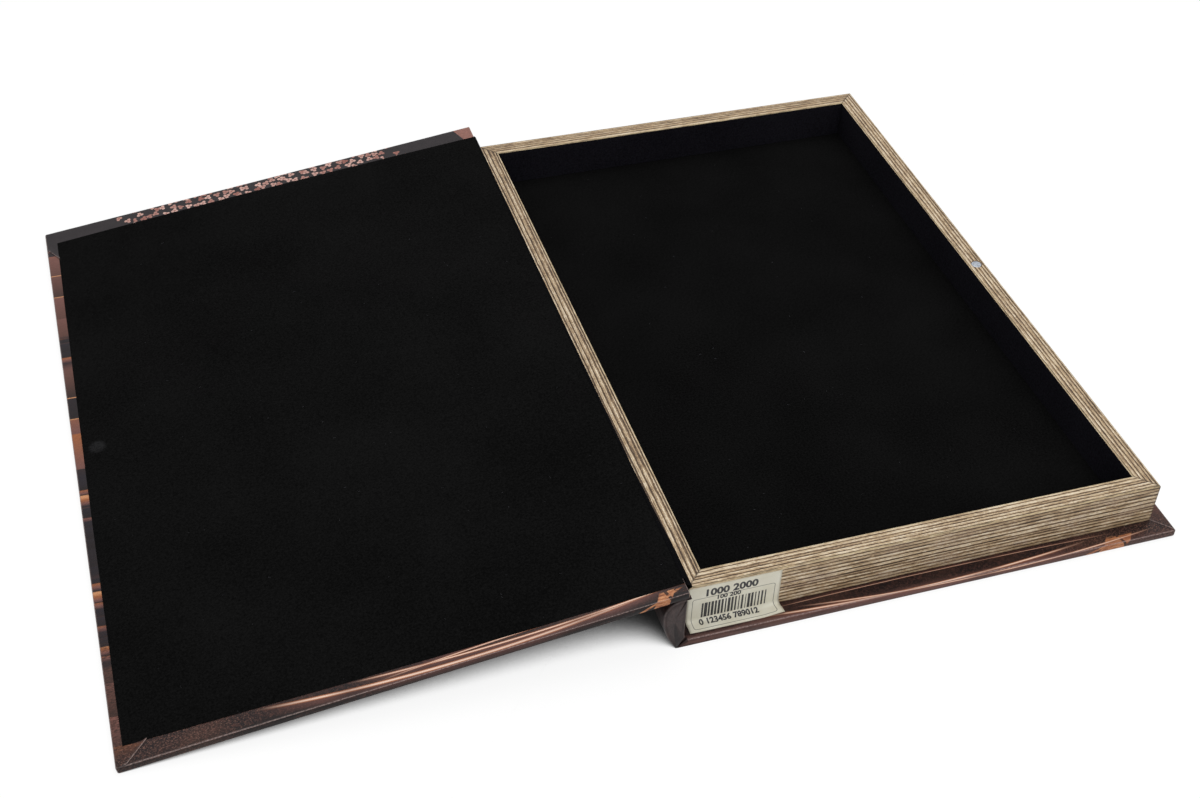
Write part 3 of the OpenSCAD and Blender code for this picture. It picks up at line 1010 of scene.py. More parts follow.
@dataclass
class Finishes:
    """Every finish of the box, made once."""

    tray: Tray
    front_arcs: tuple[Arc, ...] = (
        Arc((84.0, -170.0), -560.0, 1.6), Arc((66.0, -172.4), -760.0, 1.0, 0.95, 60.0),
        Arc((40.0, -174.9), 1100.0, 0.8, 0.8), Arc((96.0, -150.0), 380.0, 2.4, 0.8, 90.0),
        Arc((120.0, -60.0), -300.0, 3.0, 0.7, 110.0), Arc((90.0, 60.0), 260.0, 2.2, 0.8, 90.0))
    back_arcs: tuple[Arc, ...] = (
        Arc((96.0, -169.2), -700.0, 1.2), Arc((128.0, -168.2), -640.0, 0.9, 0.9),
        Arc((110.0, -176.0), 2600.0, 0.4, 0.7), Arc((110.0, -120.0), 420.0, 2.2, 0.8, 90.0),
        Arc((80.0, 20.0), -280.0, 3.0, 0.7, 90.0))
    front_blocks: tuple[Block, ...] = (Block(10.0, 16.0, -0.5), Block(25.0, 27.5, -2.4, 0.1))
    back_blocks: tuple[Block, ...] = (Block(178.0, 190.0, 0.7), Block(166.0, 169.0, 2.6, 0.1))

    def __post_init__(self) -> None:
        """Builds the materials."""
        rim = self.tray.rim_top - self.tray.base_top
        finishes = (
            Felt("cover_felt", "080808", "151515"),
            Felt("floor_felt", "060606", "131313"),
            Felt("lining_felt", "0f0e12", "201f25"),
            HingeCloth(),
            PageFoil("tail_pages", 1.0, rim),
            PageFoil("head_pages", 2.0, rim, 0.8, -0.05),
            PageFoil("fore_edge_pages", 3.0, rim, 1.0, -0.04),
            PageFoil("spine_pages", 4.0, rim, 1.1, -0.12),
            PrintedCovering("front_print", 0.37, self.front_arcs, self.front_blocks, 0.95, "0c090a"),
            PrintedCovering("back_print", 7.61, self.back_arcs, self.back_blocks),
            PlainCovering(),
            Fibreboard("mdf", "7a5b3d", "b08e66"),
            Fibreboard("grey_card", "6f6e6b", "96948f", 0.8),
            Nickel(),
            Ink(),
            Lint(),
        )
        self.made = {finish.name: finish.material for finish in finishes}

    def __getitem__(self, name: str) -> Material:
        """The material of a finish."""
        return self.made[name]


# Meshes


def placed(name: str, data: ID) -> Object:
    """Adds an object at the origin.

    Args:
        name: its name.
        data: its mesh, curve, lamp or camera.

    Returns:
        The object.
    """
    made = bpy.data.objects.new(name, data)
    bpy.context.scene.collection.objects.link(made)
    return made


def written(shape: bmesh.types.BMesh, mesh: Mesh) -> Mesh:
    """Writes a mesh in the making into a mesh and frees it.

    Args:
        shape: the mesh in the making.
        mesh: the mesh that takes it.

    Returns:
        The mesh.
    """
    shape.to_mesh(mesh)
    shape.free()
    return mesh


class Draft:
    """A mesh in the making, whose face corners hold their place on the flat sheet."""

    def __init__(self) -> None:
        """Starts an empty mesh."""
        self.bm = bmesh.new()
        self.sheet = self.bm.loops.layers.float_vector.new(SHEET)
        # Per-point marks: scuffing on edges and folds, which the finishes also show as a painted highlight, and painted
        # shade in crevices and corners.
        self.wear = self.bm.verts.layers.float.new(WEAR_AND_HIGHLIGHT)
        self.crease = self.bm.verts.layers.float.new(CREASE_SHADE)

    def face(self, corners: Sequence[bmesh.types.BMVert], spots: Sequence[Spot]) -> None:
        """Adds a face and the place of each corner on the sheet."""
        for loop, spot in zip(self.bm.faces.new(corners).loops, spots):
            loop[self.sheet] = Vector((*spot, 0.0))

    def points(self, rows: Rows) -> Points:
        """Adds rows of points."""
        return [[self.bm.verts.new(point) for point in row] for row in rows]

    def grid(self, rows: Rows, spots: Spots, closed: bool = False) -> Points:
        """Adds a grid of faces.

        Args:
            rows: rows of points in metres.
            spots: their places on the sheet; one more in each row where the rows are closed.
            closed: whether each row is a ring.

        Returns:
            The new points, row by row.
        """
        made, wide = self.points(rows), len(rows[0])
        for j in range(len(rows) - 1):
            for i in range(wide if closed else wide - 1):
                cell = ((j, i), (j, i + 1), (j + 1, i + 1), (j + 1, i))
                self.face([made[m][n % wide] for m, n in cell], [spots[m][n] for m, n in cell])
        return made

    def loft(self, rings: Rows, spots: Spots) -> Points:
        """Adds a closed solid with a cap on its first and last ring.

        Args:
            rings: rings of points in metres.
            spots: their places on the sheet, one more in each ring.

        Returns:
            The new points, ring by ring.
        """
        made = self.grid(rings, spots, closed=True)
        for end in (0, -1):
            self.face(made[end], spots[end][:-1])
        self.close()
        return made

    def close(self) -> None:
        """Merges doubles and points the faces of a closed solid outwards."""
        bmesh.ops.remove_doubles(self.bm, verts=self.bm.verts, dist=1e-7)
        bmesh.ops.recalc_face_normals(self.bm, faces=self.bm.faces)

    def finish(self, name: str, material: Material, sharp: float = 35.0, thick: float = 0.0) -> Object:
        """Makes the object.

        Args:
            name: the piece's name.
            material: its material.
            sharp: angle in degrees past which an edge stays crisp.
            thick: thickness of an open sheet, which a live Solidify puts behind its shown side.

        Returns:
            The object, at the origin.
        """
        mesh = written(self.bm, bpy.data.meshes.new(name))
        mesh.materials.append(material)
        smooth(mesh, sharp)
        piece = placed(name, mesh)
        if thick:
            piece.modifiers.new("thickness", "SOLIDIFY").thickness = thick * MM
        return piece


def smooth(mesh: Mesh, sharp: float) -> None:
    """Shades a mesh smooth, apart from the edges past an angle in degrees."""
    mesh.shade_smooth()
    mesh.set_sharp_from_angle(angle=math.radians(sharp))


def evaluated_copy(source: Object, name: str) -> Object:
    """Plain mesh object of what an object's modifiers make, which takes the source's place.

    Args:
        source: the object with modifiers; it is deleted.
        name: name of the new object.

    Returns:
        The new object.
    """
    graph = bpy.context.evaluated_depsgraph_get()
    mesh = bpy.data.meshes.new_from_object(source.evaluated_get(graph), depsgraph=graph)
    mesh.name = name
    old = source.data
    bpy.data.objects.remove(source)
    if old.users == 0:
        bpy.data.batch_remove([old])
    return placed(name, mesh)


def claim(piece: Object, slot: Slot, *nodes: str) -> Object:
    """Gives a piece its material slot and the CAD nodes that it stands for.

    Args:
        piece: the finished piece.
        slot: the record's slot of its finish.
        nodes: CAD nodes that it stands for.

    Returns:
        The piece.
    """
    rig.slot(piece, slot.value)
    if nodes:
        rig.replaces(piece, *nodes)
    LOG.info("%s: %d faces", piece.name, len(piece.data.polygons))
    return piece


def settle(piece: Object, body: Body, slot: Slot, *nodes: str) -> Object:
    """Lets a piece ride on a body and claims its slot and its CAD nodes."""
    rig.ride(piece, body.value)
    return claim(piece, slot, *nodes)


# Geometry Nodes


class Growth(Tree):
    """Short hand for a Geometry Nodes tree with named inputs."""

    def __init__(self, name: str, **numbers: float) -> None:
        """Starts a tree with a mesh input, a mesh output and more inputs for numbers.

        Args:
            name: its name.
            numbers: first value of each named input, whole where the input is whole.
        """
        super().__init__(bpy.data.node_groups.new(name, "GeometryNodeTree"))
        for way in ("INPUT", "OUTPUT"):
            self.tree.interface.new_socket("Geometry", in_out=way, socket_type="NodeSocketGeometry")
        self.names: dict[str, str] = {}
        for key, value in numbers.items():
            kind = "NodeSocketInt" if isinstance(value, int) else "NodeSocketFloat"
            item = self.tree.interface.new_socket(key, in_out="INPUT", socket_type=kind)
            item.default_value = value
            self.names[key] = item.identifier
        outputs = self.node("NodeGroupInput", {}).outputs
        self.mesh, *self.numbers = (Value(self, output) for output in outputs[:-1])

    def close(self, geometry: Value, material: Material) -> None:
        """Ends the tree in Realize Instances and Set Material."""
        inputs = {"Geometry": self.get("GeometryNodeRealizeInstances", {0: geometry}), "Material": material}
        self.node("NodeGroupOutput", {0: self.get("GeometryNodeSetMaterial", inputs)})

    def grow(self, base: Object, name: str, **values: float) -> Object:
        """Runs the tree on an object and keeps the result as a plain mesh.

        Args:
            base: the object that feeds the tree; the result takes its place.
            name: name of the result.
            values: values of the named inputs.

        Returns:
            The new object.
        """
        modifier = base.modifiers.new(self.tree.name, "NODES")
        modifier.node_group = self.tree
        for key, value in values.items():
            modifier[self.names[key]] = value
        return evaluated_copy(base, name)


class PageRelief(Growth):
    """Raises the edges of pages along the foil by a rule on the foil's own sheet."""

    def __init__(self, material: Material) -> None:
        """Builds the tree.

        Args:
            material: the finish of what it makes.
        """
        super().__init__("page_relief_" + material.name, Depth=0.00004, Run=0.03, Pitch=1.1, Seed=1)
        depth, run, pitch, seed = self.numbers
        x, y, _ = self.get(
            "GeometryNodeInputNamedAttribute", {"Name": SHEET}, "Attribute", data_type="FLOAT_VECTOR").parts
        rise = (self.together(x * run, y * pitch, seed).noise(1.0, 2.0) - 0.5) * depth
        shift = self.get("ShaderNodeVectorMath", {0: self.get("GeometryNodeInputNormal", {}), "Scale": rise},
                         operation="SCALE")
        self.close(self.get("GeometryNodeSetPosition", {"Geometry": self.mesh, "Offset": shift}), material)


class LintScatter(Growth):
    """Scatters short bent fibres on the up side of a felt."""

    def __init__(self, material: Material) -> None:
        """Builds the tree.

        Args:
            material: the finish of what it makes.
        """
        super().__init__("lint_scatter", Density=3000.0, Length=0.0008, Radius=0.000025, Seed=1)
        density, length, radius, seed = self.numbers
        height = self.get("GeometryNodeInputNormal", {}).parts[2]
        upward = self.get(
            "FunctionNodeCompare", {"A": height, "B": 0.9}, data_type="FLOAT", operation="GREATER_THAN")
        spots = self.node("GeometryNodeDistributePointsOnFaces", {
            "Mesh": self.mesh, "Selection": upward, "Density": density, "Seed": seed}).outputs
        curve = self.get("GeometryNodeCurveQuadraticBezier", {
            "Resolution": 3, "Start": self.together(length * -0.5, 0.0, radius),
            "Middle": self.together(0.0, length * 0.25, radius),
            "End": self.together(length * 0.5, 0.0, radius)})
        ring = self.get("GeometryNodeCurvePrimitiveCircle", {"Resolution": 3, "Radius": radius})
        fibre = self.get("GeometryNodeCurveToMesh", {
            "Curve": curve, "Profile Curve": ring, "Fill Caps": True})
        turn = self.get("FunctionNodeRandomValue", {
            "Min": (0.0, 0.0, 0.0), "Max": (0.0, 0.0, math.tau), "Seed": seed}, data_type="FLOAT_VECTOR")
        tilt = self.get("FunctionNodeRotateRotation", {
            "Rotation": Value(self, spots["Rotation"]), "Rotate By": turn}, rotation_space="LOCAL")
        size = self.get("FunctionNodeRandomValue", {2: 0.4, 3: 1.3, "Seed": seed}, 1, data_type="FLOAT")
        self.close(self.get("GeometryNodeInstanceOnPoints", {
            "Points": Value(self, spots["Points"]), "Instance": fibre, "Rotation": tilt, "Scale": size}),
            material)


class BarRow(Growth):
    """A row of upright bars of uneven width along the X axis."""

    def __init__(self, material: Material) -> None:
        """Builds the tree.

        Args:
            material: the finish of what it makes.
        """
        super().__init__("bar_row", Count=30, Seed=1, Pitch=0.0009, Height=0.006)
        count, seed, pitch, height = self.numbers
        line = self.get("GeometryNodeMeshLine", {"Count": count, "Offset": self.together(pitch)})
        plate = self.get("GeometryNodeMeshGrid", {
            "Size X": pitch, "Size Y": height, "Vertices X": 2, "Vertices Y": 2})
        stand = self.get("GeometryNodeTransform", {"Geometry": plate, "Rotation": (math.pi / 2, 0.0, 0.0)})
        width = self.get("FunctionNodeRandomValue", {2: 0.18, 3: 0.92, "Seed": seed}, 1, data_type="FLOAT")
        self.close(self.get("GeometryNodeInstanceOnPoints", {
            "Points": line, "Instance": stand, "Scale": self.together(width, 1.0, 1.0)}), material)


# Sub-assemblies


@dataclass
class Part:
    """A sub-assembly, which knows the sizes of the tray and the cover, and the finishes."""

    tray: Tray
    cover: Cover
    finishes: Finishes


@dataclass
class PageBlock(Part):
    """The four streaked foils that dress the tray walls as edges of pages, and the rim magnet."""

    mitre_gap: float = 0.05
    edge_round: float = 0.6
    corner_zone: float = 12.0
    along_step: float = 3.0
    across_step: float = 0.5
    lip_clearance: float = 0.05
    relief: float = 0.12
    hole_play: float = 0.12
    hole_depth: float = 1.6
    magnet_round: float = 0.35
    magnet_cuts: int = 48
    chips: tuple[tuple[float, float, int], ...] = ((0.35, 2.6, 14), (0.12, 4.1, 20))

    @property
    def section(self) -> list[Spot]:
        """Closed section of the foil, inward and up: its shown side over the rim, then its back."""
        tray, r = self.tray, self.edge_round
        out, inside, lip = -tray.foil_t, tray.wall_t + tray.foil_t, tray.lining_top + self.lip_clearance
        face = [(out, z) for z in spread(tray.base_top, tray.rim_top - r, self.across_step)[:-1]]
        rim = [(v, tray.rim_top) for v in spread(out + r, inside - r, self.across_step)[1:-1]]
        return (face + arc((out + r, tray.rim_top - r), r, 180, 90, 4) + rim
                + arc((inside - r, tray.rim_top - r), r, 90, 0, 4)[:-1]
                + [(inside, lip), (tray.wall_t, lip), (tray.wall_t, tray.wall_top), (0.0, tray.wall_top),
                   (0.0, tray.base_top)])

    def stations(self, side: Side) -> list[Spot]:
        """Stations along a wall.

        Args:
            side: the tray side.

        Returns:
            The end (-1 or 1) and the distance from it, or in the middle part 0 and the place.
        """
        half, ends = self.tray.half(side), (0.0, 0.25, 0.7, 1.6, 4.0)
        middle = spread(self.corner_zone - half, half - self.corner_zone, self.along_step)
        return [*((-1.0, d) for d in ends), *((0.0, at) for at in middle), *((1.0, d) for d in ends[::-1])]

    def foil(self, side: Side) -> Object:
        """Builds one wall's foil, mitred at both ends, with page relief.

        Args:
            side: the tray side.

        Returns:
            The foil.
        """
        tray, ring, draft = self.tray, self.section, Draft()
        runs, half = lengths(ring + ring[:1]), tray.half(side) - self.mitre_gap
        rings, spots = [], []
        for end, station in self.stations(side):
            alongs = [station if end == 0 else end * (half - v - station) for v, _ in ring]
            rings.append([tray.place(side, a, v, z) for a, (v, z) in zip(alongs, ring)])
            spots.append(list(zip(alongs + alongs[:1], runs)))
        edges = ((-tray.foil_t, tray.rim_top), (tray.wall_t + tray.foil_t, tray.rim_top))
        for row, (end, station) in zip(draft.loft(rings, spots), self.stations(side)):
            for point, spot in zip(row, ring):
                # Painted shade towards each mitred end; scuffing with a painted highlight along the rim's two rounded
                # edges.
                point[draft.crease] = 1.0 - eased(station, 0.05, 0.7) if end else 0.0
                point[draft.wear] = 1.0 - eased(min(math.dist(spot, edge) for edge in edges), 0.25, 0.75)
        finish = self.finishes[side.label + "_pages"]
        piece = PageRelief(finish).grow(draft.finish(side.label + "_plain", finish), side.label + "_pages",
                                        Depth=self.relief * MM, Seed=list(Side).index(side) + 1)
        if side is Side.FORE:
            piece = self.drill(piece)
        smooth(piece.data, 50)
        return settle(piece, Body.CASE, Slot.FOIL, side.label + "_page_foil")

    def drill(self, piece: Object) -> Object:
        """Cuts the round hole for the rim magnet.

        Args:
            piece: the foil; it is deleted.

        Returns:
            The foil with its hole.
        """
        tray, hole = self.tray, bmesh.new()
        radius = (tray.magnet_r + self.hole_play) * MM
        middle = tray.place(Side.FORE, 0.0, tray.wall_t / 2, tray.rim_top)
        bmesh.ops.create_cone(hole, segments=self.magnet_cuts, radius1=radius, radius2=radius,
                              depth=self.hole_depth * MM, cap_ends=True, matrix=Matrix.Translation(middle))
        mesh = written(hole, bpy.data.meshes.new("magnet_hole"))
        cutter, cut = placed("magnet_hole", mesh), piece.modifiers.new("hole", "BOOLEAN")
        cut.operation, cut.solver, cut.object = "DIFFERENCE", "EXACT", cutter
        pierced = evaluated_copy(piece, piece.name)
        bpy.data.objects.remove(cutter)
        bpy.data.meshes.remove(mesh)
        return pierced

    def magnet(self) -> Object:
        """Builds the rim magnet: a plated disc with a rounded rim and two chipped stretches.

        Returns:
            The magnet.
        """
        tray, draft, soft = self.tray, Draft(), self.magnet_round
        r, top = tray.magnet_r, tray.magnet_top
        path = ([(r, tray.magnet_foot), (r, top - soft)] + arc((r - soft, top - soft), soft, 0, 90, 4)[1:]
                + [(r * share, top) for share in (0.7, 0.4, 0.15)])
        turns = [math.tau * i / self.magnet_cuts for i in range(self.magnet_cuts + 1)]
        rings = []
        for radius, z in path:
            ring = []
            for turn in turns[:-1]:
                chip = sum(deep * max(0.0, math.cos(turn - at)) ** power for deep, at, power in self.chips)
                left = radius - chip * eased(z, top - 1.0, top) * eased(radius, r * 0.6, r)
                ring.append(
                    tray.place(Side.FORE, left * math.cos(turn), tray.wall_t / 2 + left * math.sin(turn), z))
            rings.append(ring)
        draft.loft(rings, [[(turn * r, radius) for turn in turns] for radius, _ in path])
        piece = draft.finish("rim_magnet_disc", self.finishes["nickel"])
        return settle(piece, Body.CASE, Slot.NICKEL, "rim_magnet")

    def build(self) -> list[Object]:
        """Builds the four foils and the magnet."""
        return [self.foil(side) for side in Side] + [self.magnet()]


@dataclass
class FeltWork(Part):
    """Black felt on the tray floor, on the four walls and inside the front board."""

    step: float = 3.0
    slack: float = 0.06
    lint_density: float = 1600.0
    pressed: float = 0.4
    tail_edge: tuple[Spot, Spot] = ((0.5, -160.6), (212.4, -156.6))
    head_edge: tuple[Spot, Spot] = ((0.5, 155.4), (210.6, 155.5))
    bump_shift: Spot = (1.9, 2.8)
    bump_height: float = 0.42
    lap_height: float = 0.16
    lap_reach: Spot = (199.5, 201.0)
    lap_y: Spot = (144.5, 146.0)
    soft_edge: tuple[float, ...] = (0.0, 0.0012, 0.004)

    def pad(self, name: str, finish: str, size: Spot, thick: float,
            place: Callable[[float, float, float], Vector], rise: Relief, rub: Relief = lambda a, b: 0.0,
            finer: Sequence[Sequence[float]] = ((), ())) -> Object:
        """Builds a thin closed sheet on a grid with softly rounded edges.

        Args:
            name: the piece's name.
            finish: its finish.
            size: its size each way, in millimetres.
            thick: its thickness.
            place: point from two shares and a height off the sheet's foot.
            rise: extra height at two shares, in millimetres.
            rub: how far the sheet is scuffed at two shares, which the felt also shows as a painted highlight.
            finer: more shares each way, for a small relief.

        Returns:
            The sheet.
        """
        edge, none = self.soft_edge, [(0.0, 0.0)] * 4
        first, second = (
            sorted([*edge, *spread(0.01, 0.99, 0.98 / int(long / self.step)), *(1 - e for e in edge), *more])
            for long, more in zip(size, finer))

        def height(a: float, b: float) -> float:
            """Height of the shown side, falling off at the edge."""
            off = min(a, 1 - a, b, 1 - b)
            return thick * (0.45 + 0.55 * eased(off, 0.0, edge[-1])) + rise(a, b) * eased(off, 0.0, 0.03)

        draft, spots = Draft(), [[(a * 1000, b * 1000) for a in first] for b in second]
        top = draft.grid([[place(a, b, height(a, b)) for a in first] for b in second], spots)
        for row, b in zip(top, second):
            for point, a in zip(row, first):
                point[draft.wear] = rub(a, b)
        foot = draft.points([[place(a, b, 0.0) for a in first] for b in second])
        wide, deep = len(first), len(second)
        for j in range(deep - 1):
            for i in range(wide - 1):
                draft.face((foot[j][i], foot[j + 1][i], foot[j + 1][i + 1], foot[j][i + 1]), none)
        rim = ([(0, i) for i in range(wide)] + [(j, wide - 1) for j in range(1, deep)]
               + [(deep - 1, i) for i in range(wide - 2, -1, -1)] + [(j, 0) for j in range(deep - 2, 0, -1)])
        for (j, i), (m, n) in zip(rim, rim[1:] + rim[:1]):
            draft.face((top[j][i], top[m][n], foot[m][n], foot[j][i]), none)
        draft.close()
        return draft.finish(name, self.finishes[finish], 60.0)

    def floor(self) -> Object:
        """Builds the floor felt, from wall to wall on its card.

        Returns:
            The felt.
        """
        tray = self.tray
        half_x, half_y, foot = tray.half_x - tray.wall_t, tray.half_y - tray.wall_t, tray.card_top
        piece = self.pad(
            "tray_floor_felt", "floor_felt", (2 * half_x, 2 * half_y), tray.felt_t,
            lambda a, b, up: Vector(((2 * a - 1) * half_x, (2 * b - 1) * half_y, foot + up)) * MM,
            lambda a, b: self.slack * ripple(a * half_x, b * half_y, 9.0, 3.1))
        settle(piece, Body.CASE, Slot.FELT, "floor_felt")
        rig.sheet(piece, flat=(2 * half_x * MM, 2 * half_y * MM), held="laid", rests_on=["floor_card"])
        return piece

    def lining(self, side: Side) -> Object:
        """Builds one wall's lining, with a hand-cut top edge and mitred ends.

        Args:
            side: the tray side.

        Returns:
            The lining.
        """
        tray = self.tray
        half = tray.half(side) - tray.wall_t
        foot = tray.floor_top - 0.5 * tray.felt_t

        def place(a: float, b: float, height: float) -> Vector:
            """Point of the lining.

            Args:
                a: share along the wall.
                b: share up the wall.
                height: height off the wall.

            Returns:
                The point in metres.
            """
            along = (2 * a - 1) * (half - height - 0.02)
            cut = 0.12 * ripple(along, 0.0, 14.0, side.turn) * eased(b, 0.8, 1.0)
            return tray.place(
                side, along, tray.wall_t + height, foot + (tray.lining_top - foot) * b + min(cut, 0.0))

        piece = self.pad(
            side.label + "_felt_strip", "lining_felt", (2 * half, 6 * self.step), tray.felt_t, place,
            lambda a, b: 0.5 * self.slack * (1 + ripple(a * half, b * 6, 8.0, side.turn)))
        settle(piece, Body.CASE, Slot.FELT, side.label + "_lining")
        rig.sheet(piece, flat=(2 * half * MM, (tray.lining_top - tray.floor_top) * MM), held="stretched",
                 rests_on=[side.label + "_wall"])
        return piece

    def panel(self) -> Object:
        """Builds the front board's felt, a little askew, over turned-in edges and the magnet.

        Returns:
            The felt.
        """
        cover, tray = self.cover, self.tray
        bump = (tray.half_x - tray.wall_t / 2 - cover.hinge.x + self.bump_shift[0], self.bump_shift[1])

        def spot(a: float, b: float) -> Spot:
            """Place on the board.

            Args:
                a: share of the panel's reach.
                b: share of its length, from the tail.

            Returns:
                Reach and y.
            """
            tail, head = ([(1 - a) * near + a * far for near, far in zip(*edge)]
                          for edge in (self.tail_edge, self.head_edge))
            reach, y = ((1 - b) * t + b * h for t, h in zip(tail, head))
            reach += 0.5 * math.sin(math.pi * b) * a + 0.12 * ripple(y, 0.0, 30.0, 2.0) * a
            y += math.sin(math.pi * a) * (1.4 * (2 * b - 1) * b - 0.7 * (1 - b))
            return reach, y + 0.12 * ripple(reach, b, 25.0, 5.0)

        def rise(a: float, b: float) -> float:
            """Relief of the magnet, of the turned-in edges and of the felt itself.

            Args:
                a: share of the panel's reach.
                b: share of its length, from the tail.

            Returns:
                The extra height.
            """
            reach, y = spot(a, b)
            dome = self.bump_height * (1 - eased(math.dist((reach, y), bump), 2.4, 4.2))
            step = self.lap_height * max(eased(reach, *self.lap_reach), eased(abs(y), *self.lap_y))
            return dome + step + self.slack * ripple(reach, y, 11.0, 7.7)

        piece = self.pad("cover_felt_panel", "cover_felt", (cover.reach, 2 * cover.half_y), cover.felt_t,
                         lambda a, b, up: cover.place(*spot(a, b), cover.thick + up), rise,
                         # Paler over the magnet's bump: rubbing, and a painted highlight.
                         lambda a, b: 1 - eased(math.dist(spot(a, b), bump), 2.2, 4.4),
                         (spread(0.948, 0.992, 0.004), spread(0.495, 0.527, 0.0027)))
        settle(piece, Body.COVER, Slot.FELT, "cover_felt")
        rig.sheet(piece, flat=(0.211, 0.315), held="laid", rests_on=["front_board"])
        return piece

    def lint(self, felt: Object, name: str, body: Body, seed: int) -> Object:
        """Scatters lint on the up side of a felt; the seed picks a scatter."""
        piece = LintScatter(self.finishes["lint"]).grow(
            placed(name + "_base", felt.data.copy()), name, Density=self.lint_density, Seed=seed)
        return settle(piece, body, Slot.FELT)

    def build(self) -> list[Object]:
        """Builds every felt and its lint, and lets those on the front board be pressed when it closes.

        Returns:
            The pieces.
        """
        floor, panel, *linings = self.floor(), self.panel(), *(self.lining(side) for side in Side)
        lint = [self.lint(floor, "floor_lint", Body.CASE, 11), self.lint(panel, "cover_lint", Body.COVER, 23)]
        foot, above = (self.cover.place(0.0, 0.0, self.cover.thick + up) for up in (0.0, 1.0))
        for piece in (panel, lint[1]):
            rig.squash(piece, frame["joints"][0]["name"], axis=tuple(above - foot), anchor=tuple(foot),
                      keep=self.pressed)
        return [floor, panel, *linings, *lint]


@dataclass(frozen=True)
class Fold:
    """Line on the inner face where one turned-in flap lies over the next one at a corner."""

    points: tuple[Spot, ...]
    upper: Flap
    head: bool

    def y_at(self, x: float) -> float:
        """The fold's y where it crosses a place across the board."""
        (x0, y0), (x1, y1) = next(pair for pair in zip(self.points, self.points[1:])
                                  if x >= pair[1][0] or pair[1] == self.points[-1])
        return y0 + (y1 - y0) * (x - x0) / (x1 - x0)

    def distance(self, spot: Spot) -> float:
        """Distance to the fold.

        Args:
            spot: place on the inner face.

        Returns:
            The distance.
        """
        best = math.inf
        for (x0, y0), (x1, y1) in zip(self.points, self.points[1:]):
            wide, deep = x1 - x0, y1 - y0
            share = ((spot[0] - x0) * wide + (spot[1] - y0) * deep) / (wide ** 2 + deep ** 2)
            share = min(max(share, 0.0), 1.0)
            best = min(best, math.dist(spot, (x0 + share * wide, y0 + share * deep)))
        return best


def faces_up(face: bmesh.types.BMFace) -> bool:
    """Whether a face of a board in its own frame lies on its inner side."""
    return face.normal.z > 0.9


